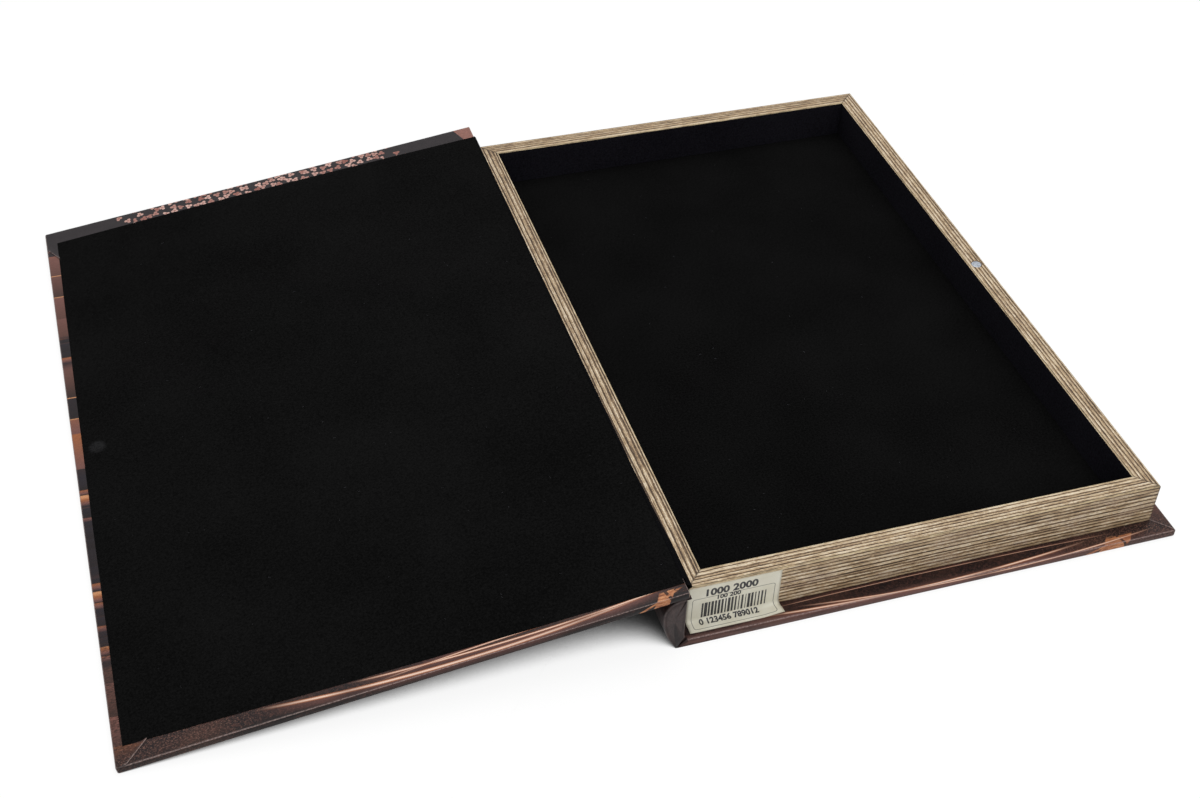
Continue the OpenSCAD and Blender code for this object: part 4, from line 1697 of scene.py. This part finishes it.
@dataclass
class BoardCovering:
    """Covering wrapped round a board and turned in over its inner face, which faces up. A corner of
    its section is a place across, a height and a radius."""

    name: str
    section: tuple[Place, ...]
    half_y: float
    end_r: float
    window: tuple[float, ...]
    folds: tuple[Fold, ...]
    matrix: Matrix
    crevice: float = -9.0
    skin_t: float = 0.25
    step: float = 5.0
    lift: float = 0.2
    fold_zone: float = 6.0
    fold_cuts: tuple[float, ...] = (-1.0, -0.4, 0.0, 0.4, 1.0, 2.2)
    rim_cuts: tuple[float, ...] = (9.5, 7.0, 5.0, 3.2, 1.8)
    end_cuts: tuple[float, ...] = (1.2, 2.6, 4.4, 6.5, 9.0, 12.0)
    uneven: float = 0.03
    round_cuts: int = 5
    draft: Draft = field(default_factory=Draft, init=False)

    @property
    def far(self) -> float:
        """Place of the fore edge across the board."""
        return max(x for x, _, _ in self.section)

    @property
    def thick(self) -> float:
        """Height of the inner face."""
        return max(z for _, z, _ in self.section)

    def outline(self, shrink: float) -> list[Spot]:
        """Closed section of the covering, with its roundings scaled and its wide sides cut.

        Args:
            shrink: factor on the corners' radii; the centres of the roundings stay.

        Returns:
            Points across and up, on the wide sides at the same places for every factor.
        """
        corners, points = self.section, []
        for before, (x, z, r), after in zip(corners[-1:] + corners[:-1], corners, corners[1:] + corners[:1]):
            back, ahead = (Vector((other[0] - x, other[1] - z)).normalized() for other in (before, after))
            half = back.angle(ahead) / 2
            centre = Vector((x, z)) + (back + ahead).normalized() * r / math.sin(half)
            starts = Vector((x, z)) + back * r / math.tan(half) - centre
            for j in range(self.round_cuts + 1):
                angle = (math.pi - 2 * half) * j / self.round_cuts
                cos, sin = math.cos(angle), math.sin(angle)
                spoke = Vector((starts.x * cos - starts.y * sin, starts.x * sin + starts.y * cos))
                points.append(tuple(centre + spoke * shrink))
        stops = {*spread(self.window[0], self.far - 12.0, self.step), self.window[1],
                 *(self.far - d for d in self.rim_cuts)}
        full: list[Spot] = []
        for (x0, z0), (x1, z1) in zip(points, points[1:] + points[:1]):
            full.append((x0, z0))
            if abs(x1 - x0) > 20:
                full += [(x, z0 + (z1 - z0) * (x - x0) / (x1 - x0)) for x in sorted(stops, reverse=x1 < x0)
                         if min(x0, x1) + 0.3 < x < max(x0, x1) - 0.3]
        return full

    @property
    def stations(self) -> list[Spot]:
        """Places along the hinge, each with the share of the roundings left there."""
        flat = self.half_y - self.end_r
        ends = [(flat + self.end_r * math.sin(a), math.cos(a))
                for a in (math.pi / 2 * i / self.round_cuts for i in range(1, self.round_cuts + 1))]
        near = [flat - d for d in self.end_cuts]
        inner = {*self.window[2:]}
        middle = sorted(
            {*spread(-near[-1], near[-1], self.step), *inner, *near, *(-n for n in near), flat, -flat})
        kept = [middle[0]]
        for y in middle[1:]:
            if y - kept[-1] > 0.35:
                kept.append(y)
            elif y in inner:
                kept[-1] = y
        return [*((-y, share) for y, share in reversed(ends)), *((y, 1.0) for y in kept), *ends]

    def flap(self, face: bmesh.types.BMFace) -> Flap:
        """The part of the covering that a face belongs to.

        Args:
            face: a face of the shell, in the board's own frame.

        Returns:
            Its flap.
        """
        middle, normal = face.calc_center_median() / MM, face.normal
        end = Flap.HEAD if middle.y > 0 else Flap.TAIL
        if normal.z < -0.75 or (normal.z < 0 and abs(normal.z) > max(abs(normal.x), abs(normal.y))):
            return Flap.OUTER
        if abs(normal.y) > max(abs(normal.x), 0.3):
            return end
        if normal.x < -0.3 and middle.x < self.window[0] + 6:
            return Flap.HINGE
        if normal.x > 0.3:
            return Flap.FORE
        for fold in self.folds:
            if (end is Flap.HEAD) == fold.head and middle.x > self.window[1] - 12:
                return end if abs(middle.y) > abs(fold.y_at(middle.x)) else Flap.FORE
        if not self.window[2] + 1e-6 <= middle.y <= self.window[3] - 1e-6:
            return end
        return Flap.FORE if middle.x > self.window[1] - 1e-6 else Flap.HINGE

    def spot(self, point: Vector, flap: Flap) -> Spot:
        """Place on the flat covering.

        Args:
            point: point in the board's millimetres.
            flap: the flap that it belongs to.

        Returns:
            The place.
        """
        x, y, z = point
        upper = z > self.thick / 2
        if flap is Flap.FORE:
            return (2 * self.far - x + z if upper else x + z, y)
        if flap in (Flap.TAIL, Flap.HEAD):
            return (x, math.copysign(2 * self.half_y - abs(y) + z if upper else abs(y) + z, y))
        return (x - z if flap is Flap.HINGE else x, y)

    def shell(self) -> None:
        """Makes the closed rounded shell of the board in its own frame, in metres."""
        rings = [[Vector((x, y, z)) * MM for x, z in self.outline(share)] for y, share in self.stations]
        self.draft.loft(rings, [[(0.0, 0.0)] * (len(rings[0]) + 1)] * len(rings))

    def mark_edges(self) -> None:
        """Paints scuffing on the rounded edges, from the slope of the surface there; the finishes also show it as a
        painted highlight.
        """
        self.draft.bm.normal_update()
        for point in self.draft.bm.verts:
            point[self.draft.wear] = eased(1 - max(abs(part) for part in point.normal), 0.04, 0.26)

    def cut_folds(self) -> None:
        """Cuts the inner face along each fold and along lines beside it."""
        for fold in self.folds:
            for (x0, y0), (x1, y1) in zip(fold.points, fold.points[1:]):
                square = Vector((y0 - y1, x1 - x0, 0.0)).normalized()
                for off in self.fold_cuts:
                    near = [f for f in self.draft.bm.faces if faces_up(f)
                            and f.calc_center_median().x / MM > self.window[1] - 4
                            and fold.distance(tuple(f.calc_center_median().xy / MM)) < self.fold_zone]
                    edges = {e for f in near for e in f.edges}
                    verts = {v for f in near for v in f.verts}
                    bmesh.ops.bisect_plane(
                        self.draft.bm, geom=[*near, *edges, *verts], dist=2e-6,
                        plane_co=(Vector((x0, y0, 0.0)) + square * off) * MM, plane_no=square)

    def open_window(self) -> None:
        """Removes the inner face inside the turned-in edges."""
        x0, x1, y0, y1 = self.window
        bm = self.draft.bm
        middles = ((face, face.calc_center_median() / MM) for face in bm.faces if faces_up(face))
        gone = [face for face, middle in middles if x0 < middle.x < x1 and y0 < middle.y < y1]
        bmesh.ops.delete(bm, geom=gone, context="FACES")

    def ripple_edges(self) -> None:
        """Makes the glued covering faintly uneven."""
        self.draft.bm.normal_update()
        for point in self.draft.bm.verts:
            x, y, z = point.co / MM
            rise = self.uneven * ripple(x, y, 7.0, z)
            point.co += point.normal * MM * (-abs(rise) if point.normal.z < -0.5 else rise)

    def part_flaps(self) -> None:
        """Lays every face on the flat sheet and parts the flaps along their folds."""
        bm = self.draft.bm
        bm.normal_update()
        kinds = {face: self.flap(face) for face in bm.faces}
        seams = []
        for edge in bm.edges:
            flat = len(edge.link_faces) == 2 and all(faces_up(face) for face in edge.link_faces)
            if flat and len({kinds[face] for face in edge.link_faces}) == 2 and edge.calc_length() > 1e-6:
                seams.append(edge)
        for face in bm.faces:
            for loop in face.loops:
                loop[self.draft.sheet] = Vector((*self.spot(loop.vert.co / MM, kinds[face]), 0.0))
        bmesh.ops.split_edges(bm, edges=seams)

    def lift_flaps(self) -> None:
        """Lifts the upper flap of each fold a little, paints scuffing with a painted highlight along its edge, and
        paints shade in the crevices and beside each fold.
        """
        bm, wear, crease = self.draft.bm, self.draft.wear, self.draft.crease
        bm.normal_update()
        for point in bm.verts:
            spot = tuple(point.co.xy / MM)
            # Painted shade in the crevice at the hinge-side ends.
            if spot[0] < self.crevice and abs(spot[1]) > self.half_y - 2 * self.end_r:
                point[crease], point[wear] = 1.0, 0.0
            share = 1.0 if all(faces_up(face) for face in point.link_faces) else 0.35
            for fold in self.folds:
                off = fold.distance(spot)
                low = point.co.z / MM < self.thick - self.end_r
                if (spot[1] > 0) != fold.head or off > self.fold_zone or low:
                    continue
                if self.flap(point.link_faces[0]) is fold.upper:
                    point.co.z += self.lift * share * (1 - eased(off, 0.0, 2.4)) * MM
                    point[wear] = max(point[wear], 0.9 * (1 - eased(off, 0.05, 0.5)))
                else:
                    point[crease] = 1 - eased(off, 0.0, 0.7)

    def build(self, material: Material) -> Object:
        """Builds the covering.

        Args:
            material: its finish.

        Returns:
            The covering.
        """
        for work in (self.shell, self.mark_edges, self.cut_folds, self.open_window, self.ripple_edges,
                     self.part_flaps, self.lift_flaps):
            work()
        self.draft.bm.transform(self.matrix @ Matrix.Scale(1 / MM, 4))
        if self.matrix.determinant() < 0:
            bmesh.ops.reverse_faces(self.draft.bm, faces=self.draft.bm.faces)
        return self.draft.finish(self.name, material, 40.0, self.skin_t)


@dataclass
class Boards(Part):
    """The front and back coverings."""

    near_round: float = 0.4
    window: tuple[float, ...] = (9.0, 200.0, -145.5, 145.5)
    spine_foot: float = -3.7
    turned_in: float = 4.5

    def front(self) -> Object:
        """Builds the open front board's covering.

        Returns:
            The covering.
        """
        cover = self.cover
        near, far, top, r = cover.edge_gap - 0.05, cover.reach, cover.thick, cover.edge_r
        section = ((near, 0.0, self.near_round), (far, 0.0, r), (far, top, r),
                   (near, top, self.near_round + 0.02))
        tail = Fold(((far + 0.4, -cover.half_y - 0.2), (211.7, -164.9), (204.7, -157.6), (199.0, -151.5)),
                    Flap.FORE, False)
        head = Fold(((far + 0.7, 153.6), (212.1, 145.6), (206.0, 135.0)), Flap.HEAD, True)
        covering = BoardCovering(
            "front_covering", section, cover.half_y, r, self.window, (tail, head), cover.matrix)
        return settle(covering.build(self.finishes["front_print"]), Body.COVER, Slot.PRINT, "front_skin")

    def back(self) -> Object:
        """Builds the back board's covering, which slopes down to the spine's foot.

        Returns:
            The covering.
        """
        cover, tray = self.cover, self.tray
        far, top, r = cover.reach, cover.thick, cover.edge_r
        section = ((self.spine_foot, 0.0, 0.1), (far, 0.0, r), (far, top, r), (0.2, top, 1.4),
                   (self.spine_foot, 0.3, 0.1))
        wall_x, inside = tray.half_x - cover.hinge.x, tray.half_y - self.turned_in
        folds = tuple(
            Fold(((far + 0.3, end * (cover.half_y + 0.3)), (wall_x, end * tray.half_y),
                  (wall_x - 4.4, end * (tray.half_y - 4.4))), upper, end > 0)
            for end, upper in ((-1, Flap.FORE), (1, Flap.HEAD)))
        covering = BoardCovering(
            "back_covering", section, cover.half_y, r, (6.6, wall_x - self.turned_in, -inside, inside), folds,
            Matrix.Scale(MM, 4) @ Matrix.Translation((cover.hinge.x, 0.0, 0.0)), crevice=0.5)
        return settle(covering.build(self.finishes["back_print"]), Body.CASE, Slot.PRINT, "back_skin")

    def build(self) -> list[Object]:
        """Builds both coverings."""
        return [self.front(), self.back()]


@dataclass
class Spine(Part):
    """The rounded spine and the covering and cloth that join it to the front board."""

    bulge: float = 10.2
    bulge_drop: float = 8.6
    tip_setback: float = 5.9
    tip_flat: float = 0.4
    bevel_height: float = 5.0
    gap: float = 1.3
    clearance: float = 0.35
    end_round: float = 0.8
    skin_t: float = 0.25
    cloth_t: float = 0.3
    belly: Spot = (0.24, 0.445)
    cloth_top: tuple[Spot, ...] = ((0.5, 0.0), (0.1, -0.02), (-0.2, -0.25), (-0.42, -0.75), (-0.5, -1.5))
    cloth_fall: tuple[Spot, ...] = (
        (0.52, 1.25), (0.6, 0.35), (0.65, -0.05), (0.8, -0.9), (0.98, -1.8), (1.14, -2.5), (1.28, -3.1),
        (1.4, -3.55), (1.52, -3.95))
    cloth_foot: tuple[float, ...] = (0.9, 1.8, 4.0, 7.0, 10.5)

    @property
    def outline(self) -> list[Spot]:
        """Closed section of the spine in X and Z, from its tip round the foot and the top."""
        hinge, tilt = self.cover.hinge, self.cover.tilt
        wide_x, wide_z = hinge.x - self.bulge, hinge.z - self.bulge_drop
        tip_x, flat_x = wide_x + self.tip_setback, hinge.x - self.gap + self.skin_t
        flank = (self.tip_setback ** 2 + wide_z ** 2) / (2 * self.tip_setback)
        top = hinge.z - self.clearance / math.cos(tilt) - self.bulge * math.tan(tilt)
        shoulder = (top - wide_z) * math.cos(tilt) / (1 - math.sin(tilt))
        top_flat = top + (flat_x - wide_x) * math.tan(tilt)
        sweep = math.degrees(math.asin(wide_z / flank))
        flank_arc = arc((wide_x + flank, wide_z), flank, 180, 180 + sweep, 14)
        shoulder_arc = arc((wide_x + shoulder, wide_z), shoulder, 90 + math.degrees(tilt), 180, 14)
        side = [(flat_x, z) for z in spread(self.bevel_height, top_flat - 0.4, 3.0)]
        crown = [(flat_x - 0.12, top_flat - 0.1), (flat_x - 0.5, top_flat - 0.06)]
        return [(tip_x + self.tip_flat, 0.0), *side, *crown, *shoulder_arc, *flank_arc[1:]]

    def skin(self) -> Object:
        """Builds the plain covering of the rounded spine, turned in over its two ends.

        Returns:
            The covering.
        """
        ring, half, draft = self.outline, self.cover.half_y, Draft()
        runs, flat = lengths(ring + ring[:1]), half - self.end_round
        mid_x, mid_z = (sum(part) / len(ring) for part in zip(*ring))
        normals = squares(ring[-1:] + ring[:-1], ring[1:] + ring[:1])
        edge = [(flat + self.end_round * math.sin(t), self.end_round * (1 - math.cos(t)), 1.0,
                 math.sin(2 * t)) for t in (math.pi / 2 * i / 5 for i in range(1, 6))]
        cap = [(half, self.end_round, share, 0.62) for share in (0.75, 0.45, 0.15)]
        body = [(y, 0.0, 1.0, 0.0) for y in spread(-flat, flat, 4.0)]
        rows = [(-y, *rest) for y, *rest in reversed(edge + cap)] + body + edge + cap
        rings = []
        for y, inset, share, _ in rows:
            row = []
            for (x, z), (nx, nz) in zip(ring, normals):
                dent = 0.05 * max(0.0, ripple(y, z, 18.0, 4.4)) * eased(z, 0.5, 3.0)
                cut = inset * min(1.0, 0.2 + z / 3.5) + dent
                row.append(Vector((mid_x + (x - cut * nx - mid_x) * share, y,
                                   mid_z + (z - cut * nz - mid_z) * share)) * MM)
            rings.append(row)
        spots = [[(run, y + math.copysign(inset + (1 - share) * 9, y)) for run in runs]
                 for y, inset, share, _ in rows]
        # The rounded ends and turned-in caps are paler, partly scuffing and partly painted light; low on the caps by
        # the flat side, painted shade marks the crevice by the back covering.
        for row, (_, _, _, worn_with_highlight) in zip(draft.loft(rings, spots), rows):
            for point, (x, z) in zip(row, ring):
                point[draft.wear] = 0.6 * worn_with_highlight
                if worn_with_highlight:
                    point[draft.crease] = eased(z, 9.0, 2.0) * eased(x, mid_x - 1.0, mid_x + 1.6)
        piece = draft.finish("spine_covering", self.finishes["dark_covering"], 50.0)
        return settle(piece, Body.CASE, Slot.PLAIN, "spine_skin")

    def strip(self, name: str, path: list[Spot], thick: float, ends: Spot, finish: str,
              sag: Callable[[float, float], Spot] = lambda share, y: (0.0, 0.0), step: float = 4.0) -> Object:
        """Builds a thin strip swept along the hinge.

        Args:
            name: the piece's name.
            path: middle line of its section in X and Z.
            thick: its thickness.
            ends: its tail and head end in Y.
            finish: its finish.
            sag: shift in X and Z at a share of the path and a Y.
            step: spacing of its stations.

        Returns:
            The strip.
        """
        runs, draft = lengths(path), Draft()
        line = list(zip(path, squares(path[:1] + path[:-1], path[1:] + path[-1:])))
        ring = [(x - side * nx, z - side * nz) for side, order in ((thick / 2, 1), (-thick / 2, -1))
                for (x, z), (nx, nz) in line[::order]]
        shares = [run / runs[-1] for run in runs + runs[::-1]]
        stations = spread(*ends, step)
        rings = []
        for y in stations:
            shifts = (sag(share, y) for share in shares)
            rings.append([Vector((x + dx, y, z + dz)) * MM for (x, z), (dx, dz) in zip(ring, shifts)])
        draft.loft(rings, [[(run, y) for run in runs + runs[::-1] + runs[:1]] for y in stations])
        return draft.finish(name, self.finishes[finish], 60.0)

    def at_board(self, reach: float, height: float) -> Spot:
        """Point of the open board's section in X and Z."""
        place = self.cover.place(reach, 0.0, height) / MM
        return place.x, place.z

    def joint(self) -> Object:
        """Builds the covering folded back on itself between the spine and the open board.

        Returns:
            The covering.
        """
        half_gap = self.clearance / 2
        radius = half_gap + self.skin_t / 2
        turns = [math.pi / 2 - math.pi * i / 10 for i in range(11)]
        path = [self.at_board(0.24, self.skin_t / 2)]
        path += [self.at_board(-radius * math.cos(t), radius * math.sin(t) - half_gap) for t in turns]
        path += [self.at_board(self.gap * share, -half_gap - radius) for share in (0.5, 1.0)]
        ends = (-self.cover.half_y, self.cover.half_y)
        piece = self.strip("joint_covering", path, self.skin_t, ends, "dark_covering")
        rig.blend(piece, Body.CASE.value, Body.COVER.value,
                 start=self.cover.place(0.0, 0.0, -0.5), end=self.cover.place(0.0, 0.0, 0.2))
        return claim(piece, Slot.PLAIN, "joint_skin")

    @property
    def cloth_path(self) -> list[Spot]:
        """Middle line of the cloth, from the felt's edge over the board's edge to the wall."""
        tray, cover, hinge = self.tray, self.cover, self.cover.hinge
        top = cover.thick + cover.felt_t - self.cloth_t / 2
        wall_x = -tray.half_x - tray.foil_t - self.cloth_t / 2 - 0.03
        return [*(self.at_board(reach, top + drop) for reach, drop in self.cloth_top),
                *((hinge.x + dx, hinge.z + dz) for dx, dz in self.cloth_fall),
                *((wall_x, tray.rim_top - drop) for drop in self.cloth_foot)]

    def cloth(self) -> Object:
        """Builds the slack black cloth inside the hinge, fuller towards the tail.

        Returns:
            The cloth.
        """
        half_y, path, switch = self.tray.half_y, self.cloth_path, self.cover.hinge * MM

        def sag(share: float, y: float) -> Spot:
            """Belly of the cloth.

            Args:
                share: share of its path.
                y: place along the hinge.

            Returns:
                Shift in X and Z.
            """
            full = 0.3 + 0.8 * eased(-y, -60.0, 40.0) + 1.1 * eased(-y, 90.0, 150.0)
            wave = 0.15 * ripple(y, share, 16.0, 9.0)
            place = min(max((share - self.belly[0]) / (self.belly[1] - self.belly[0]), 0.0), 1.0)
            round_out = math.sin(math.pi * place ** 1.4) ** 1.2
            return (full + wave) * round_out, 0.12 * full * round_out

        piece = self.strip(
            "hinge_cloth_strip", path, self.cloth_t, (-half_y - 1.0, half_y - 1.6), "hinge_cloth", sag, 3.0)
        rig.blend(piece, Body.CASE.value, Body.COVER.value,
                 start=switch + Vector((0, 0, 0.10)) * MM, end=switch + Vector((0, 0, 0.34)) * MM)
        claim(piece, Slot.CLOTH, "joint_cloth")
        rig.sheet(piece, flat=(lengths(path)[-1] * MM, (2 * half_y - 0.6) * MM), held="folded",
                 rests_on=["front_board", "spine_wall"])
        return piece

    def build(self) -> list[Object]:
        """Builds the spine's covering, the joint and the cloth."""
        return [self.skin(), self.joint(), self.cloth()]


@dataclass
class StockLabel(Part):
    """Paper label bent from the tail wall onto the lip, with a frame line and plain bars."""

    inset: float = 0.25
    width: float = 38.7
    length: float = 24.0
    foot: float = 4.0
    bend_r: float = 1.7
    paper_t: float = 0.12
    glue_t: float = 0.04
    bars_start: float = 6.6
    bars_span: float = 27.5
    bars_top: float = 9.4
    bars_height: float = 8.2
    bar_count: int = 20
    numbers: tuple[tuple[str, float, float, float], ...] = (
        ("1000 2000", 6.8, 5.7, 5.2), ("100 200", 12.0, 8.6, 3.1), ("0 123456 789012", 5.2, 20.8, 3.5))

    def point(self, across: float, down: float, off: float = 0.0) -> Vector:
        """Point of the label's shown side.

        Args:
            across: distance from its left edge.
            down: distance from its top edge, measured round the bend.
            off: height off the paper.

        Returns:
            The point in metres.
        """
        tray, quarter = self.tray, self.bend_r * math.pi / 2
        leg, layer = self.length - self.foot - quarter, self.paper_t + self.glue_t
        wall_y, lip_z = -tray.half_y - tray.foil_t - layer, tray.base_top + layer
        x = -tray.half_x + self.inset + across
        flare = 1.5 * eased(across, 30.0, 38.0) * eased(down, 15.0, 24.0)
        lift = flare + 0.25 * eased(across, 5.0, 0.0) * eased(down, 14.0, 22.0)
        if down <= leg:
            return Vector((x, wall_y - off - 0.4 * lift, tray.base_top + self.bend_r + leg - down)) * MM
        turn = min((down - leg) / self.bend_r, math.pi / 2)
        radius, rest = self.bend_r - off, max(0.0, down - leg - quarter)
        return Vector((
            x + 0.3 * flare, wall_y - self.bend_r + radius * math.cos(turn) - rest - 0.2 * lift,
            lip_z + self.bend_r - radius * math.sin(turn) + lift * 0.8)) * MM

    def paper(self) -> Object:
        """Builds the label's paper.

        Returns:
            The paper.
        """
        acrosses, downs = spread(0.0, self.width, 1.0), spread(0.0, self.length, 0.5)
        draft, spots = Draft(), [[(a, d) for a in acrosses] for d in downs]
        made = draft.grid([[self.point(*spot) for spot in row] for row in spots], spots)
        for row, d in zip(made, downs):
            for point, a in zip(row, acrosses):
                point[draft.wear] = 1 - eased(min(a, d, self.width - a, self.length - d), 0.0, 0.6)
        bmesh.ops.reverse_faces(draft.bm, faces=draft.bm.faces)
        finish = LabelPaper((self.width, self.length)).material
        piece = draft.finish("label_sheet", finish, 60.0, self.paper_t)
        return settle(piece, Body.CASE, Slot.PAPER, "stock_label")

    def bars(self) -> Object:
        """Builds the plain bars by Geometry Nodes and bends them onto the paper.

        Returns:
            The bars.
        """
        seed = placed("bar_seed", bpy.data.meshes.new("bar_seed"))
        piece = BarRow(self.finishes["label_ink"]).grow(
            seed, "label_bars", Count=self.bar_count, Pitch=self.bars_span / self.bar_count * MM,
            Height=self.bars_height * MM, Seed=5)
        shape = bmesh.new()
        shape.from_mesh(piece.data)
        bmesh.ops.subdivide_edges(
            shape, edges=[e for e in shape.edges if e.calc_length() > 0.003], cuts=5, use_grid_fill=True)
        for point in shape.verts:
            point.co = self.point(self.bars_start + point.co.x / MM,
                                  self.bars_top + self.bars_height / 2 - point.co.z / MM, 0.012)
        bmesh.ops.recalc_face_normals(shape, faces=shape.faces)
        for face in shape.faces:
            if face.normal.y > 0:
                face.normal_flip()
        written(shape, piece.data)
        return settle(piece, Body.CASE, Slot.PAPER)

    def number(self, index: int) -> Object:
        """Prints one plain number on the paper.

        Args:
            index: which number.

        Returns:
            The number.
        """
        digits, across, down, size = self.numbers[index]
        curve = bpy.data.curves.new("digits", "FONT")
        curve.body, curve.size, curve.resolution_u, curve.offset = digits, size, 3, 0.04 * size
        piece = evaluated_copy(placed("digits", curve), f"label_number_{index + 1}")
        shape = bmesh.new()
        shape.from_mesh(piece.data)
        for y in spread(-0.4 * size, size, 0.25):
            bmesh.ops.bisect_plane(shape, geom=[*shape.verts, *shape.edges, *shape.faces],
                                   plane_co=(0.0, y, 0.0), plane_no=(0.0, 1.0, 0.0))
        for point in shape.verts:
            point.co = self.point(across + point.co.x, down - point.co.y, 0.02)
        written(shape, piece.data)
        piece.data.materials.clear()
        piece.data.materials.append(self.finishes["label_ink"])
        return settle(piece, Body.CASE, Slot.PAPER)

    def build(self) -> list[Object]:
        """Builds the paper, its bars and its numbers."""
        return [self.paper(), self.bars(), *(self.number(i) for i in range(len(self.numbers)))]


@dataclass
class HiddenParts(Part):
    """Boards, walls, card and magnet that the covering hides: the CAD nodes with their finish."""

    plan: tuple[tuple[str, tuple[str, ...]], ...] = (
        ("mdf", ("back_board", "front_board", "spine_core", "tail_wall", "head_wall", "fore_edge_wall",
                 "spine_wall")),
        ("grey_card", ("floor_card",)), ("nickel", ("cover_magnet",)))

    def build(self) -> list[Object]:
        """Dresses the nodes in their own material slots.

        Returns:
            The nodes.
        """
        dressed = []
        for key, names in self.plan:
            for name in names:
                for slot in frame["nodes"][name].material_slots:
                    slot.material = self.finishes[key]
                LOG.info("%s: keeps its CAD shape", name)
                dressed.append(frame["nodes"][name])
        return dressed


# Studio


@dataclass(frozen=True)
class Softbox:
    """A large soft lamp aimed at the origin."""

    name: str
    place: Place
    size: float
    power: float

    def build(self) -> None:
        """Adds the lamp."""
        data = bpy.data.lights.new(self.name, "AREA")
        data.shape, data.size, data.energy = "SQUARE", self.size, self.power
        lamp = placed(self.name, data)
        lamp.location = self.place
        lamp.rotation_euler = (-Vector(self.place)).to_track_quat("-Z", "Y").to_euler()


@dataclass(frozen=True)
class Studio:
    """White sweep of floor, plain soft light and the camera."""

    lens: float = 51.83
    sensor: float = 36.0
    eye: Place = (-0.28464, -0.56616, 0.50979)
    forward: Place = (0.24781, 0.70860, -0.66067)
    upward: Place = (0.17684, 0.63739, 0.74997)
    floor_size: float = 40.0
    ambient: float = 0.36
    floor_white: float = 0.85
    seen_glow: float = 0.87
    seen_white: float = 0.16
    contact: float = 0.12
    lamps: tuple[Softbox, ...] = (
        Softbox("top_light", (0.1, 0.15, 1.5), 1.5, 14.0),
        Softbox("front_light", (-0.3, -1.5, 1.1), 1.2, 8.0))

    def camera(self) -> None:
        """Adds the camera at the photograph's viewpoint."""
        data = bpy.data.cameras.new("camera")
        data.lens, data.sensor_width, data.clip_start = self.lens, self.sensor, 0.01
        ahead = Vector(self.forward).normalized()
        right = ahead.cross(Vector(self.upward)).normalized()
        turned = Matrix((right, right.cross(ahead), -ahead)).transposed().to_4x4()
        camera = placed("camera", data)
        camera.matrix_world = Matrix.Translation(self.eye) @ turned
        bpy.context.scene.camera = camera

    def world(self) -> None:
        """White to the camera and in reflections, dimmer as light."""
        world = bpy.data.worlds.new("studio")
        world.use_nodes = True
        tree = Tree(world.node_tree)
        seen = tree.ray_is("Is Camera Ray", "Is Glossy Ray", "Is Transmission Ray")
        light = tree.get("ShaderNodeBackground", {
            "Color": (1.0, 1.0, 1.0), "Strength": seen.step(0.0, 1.0, self.ambient)})
        tree.node("ShaderNodeOutputWorld", {"Surface": light})
        bpy.context.scene.world = world

    def floor(self) -> None:
        """White floor that reads as the background: to the camera it glows, darkened by a painted contact shadow from
        ambient occlusion, and only its small diffuse part keeps the lamps' shadow.
        """
        shape = bmesh.new()
        bmesh.ops.create_grid(shape, x_segments=1, y_segments=1, size=self.floor_size / 2)
        mesh = written(shape, bpy.data.meshes.new("studio_floor"))
        plane = placed("studio_floor", mesh)
        material = bpy.data.materials.new("white_sweep")
        material.use_nodes = True
        tree = Tree(material.node_tree)
        # Painted shadow: ambient occlusion darkens the glow and the diffuse part under and beside the box.
        near = tree.get("ShaderNodeAmbientOcclusion", {"Distance": self.contact}, "AO", samples=48)
        clear = near.step(0.11, 0.38, 0.01)
        glow = tree.get("ShaderNodeEmission", {"Strength": clear * self.seen_glow})
        matt = tree.get("ShaderNodeBsdfDiffuse", {"Color": tree.together(*(clear * self.seen_white,) * 3)})
        both = tree.get("ShaderNodeAddShader", {0: matt, 1: glow})
        plain = tree.get("ShaderNodeBsdfDiffuse", {"Color": (self.floor_white,) * 3})
        seen = tree.ray_is("Is Camera Ray", "Is Glossy Ray")
        floor = tree.get("ShaderNodeMixShader", {0: seen, 1: plain, 2: both})
        tree.node("ShaderNodeOutputMaterial", {"Surface": floor})
        mesh.materials.append(material)
        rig.stage(plane)

    def build(self) -> None:
        """Builds the camera, the floor, the world and the lamps."""
        self.camera()
        self.world()
        self.floor()
        for lamp in self.lamps:
            lamp.build()
        bpy.context.scene.view_settings.view_transform = "Standard"


def main() -> None:
    """Builds the studio and every piece of the box, and writes its size."""
    logging.basicConfig(level=logging.INFO, format="%(name)s %(message)s")
    Studio().build()
    tray = Tray.from_frame()
    cover, finishes, pieces = Cover.from_frame(tray), Finishes(tray), []
    for part in (HiddenParts, PageBlock, FeltWork, Boards, Spine, StockLabel):
        pieces += part(tray, cover, finishes).build()
    LOG.info("%d pieces in all", len(pieces))
    boxes = {"cad": [list(corner) for corner in CAD_BOX], "visual": [list(corner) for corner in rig.bounds()]}
    with open("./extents.json", "w") as out:
        json.dump(boxes, out)


if __name__ == "__main__":
    main()
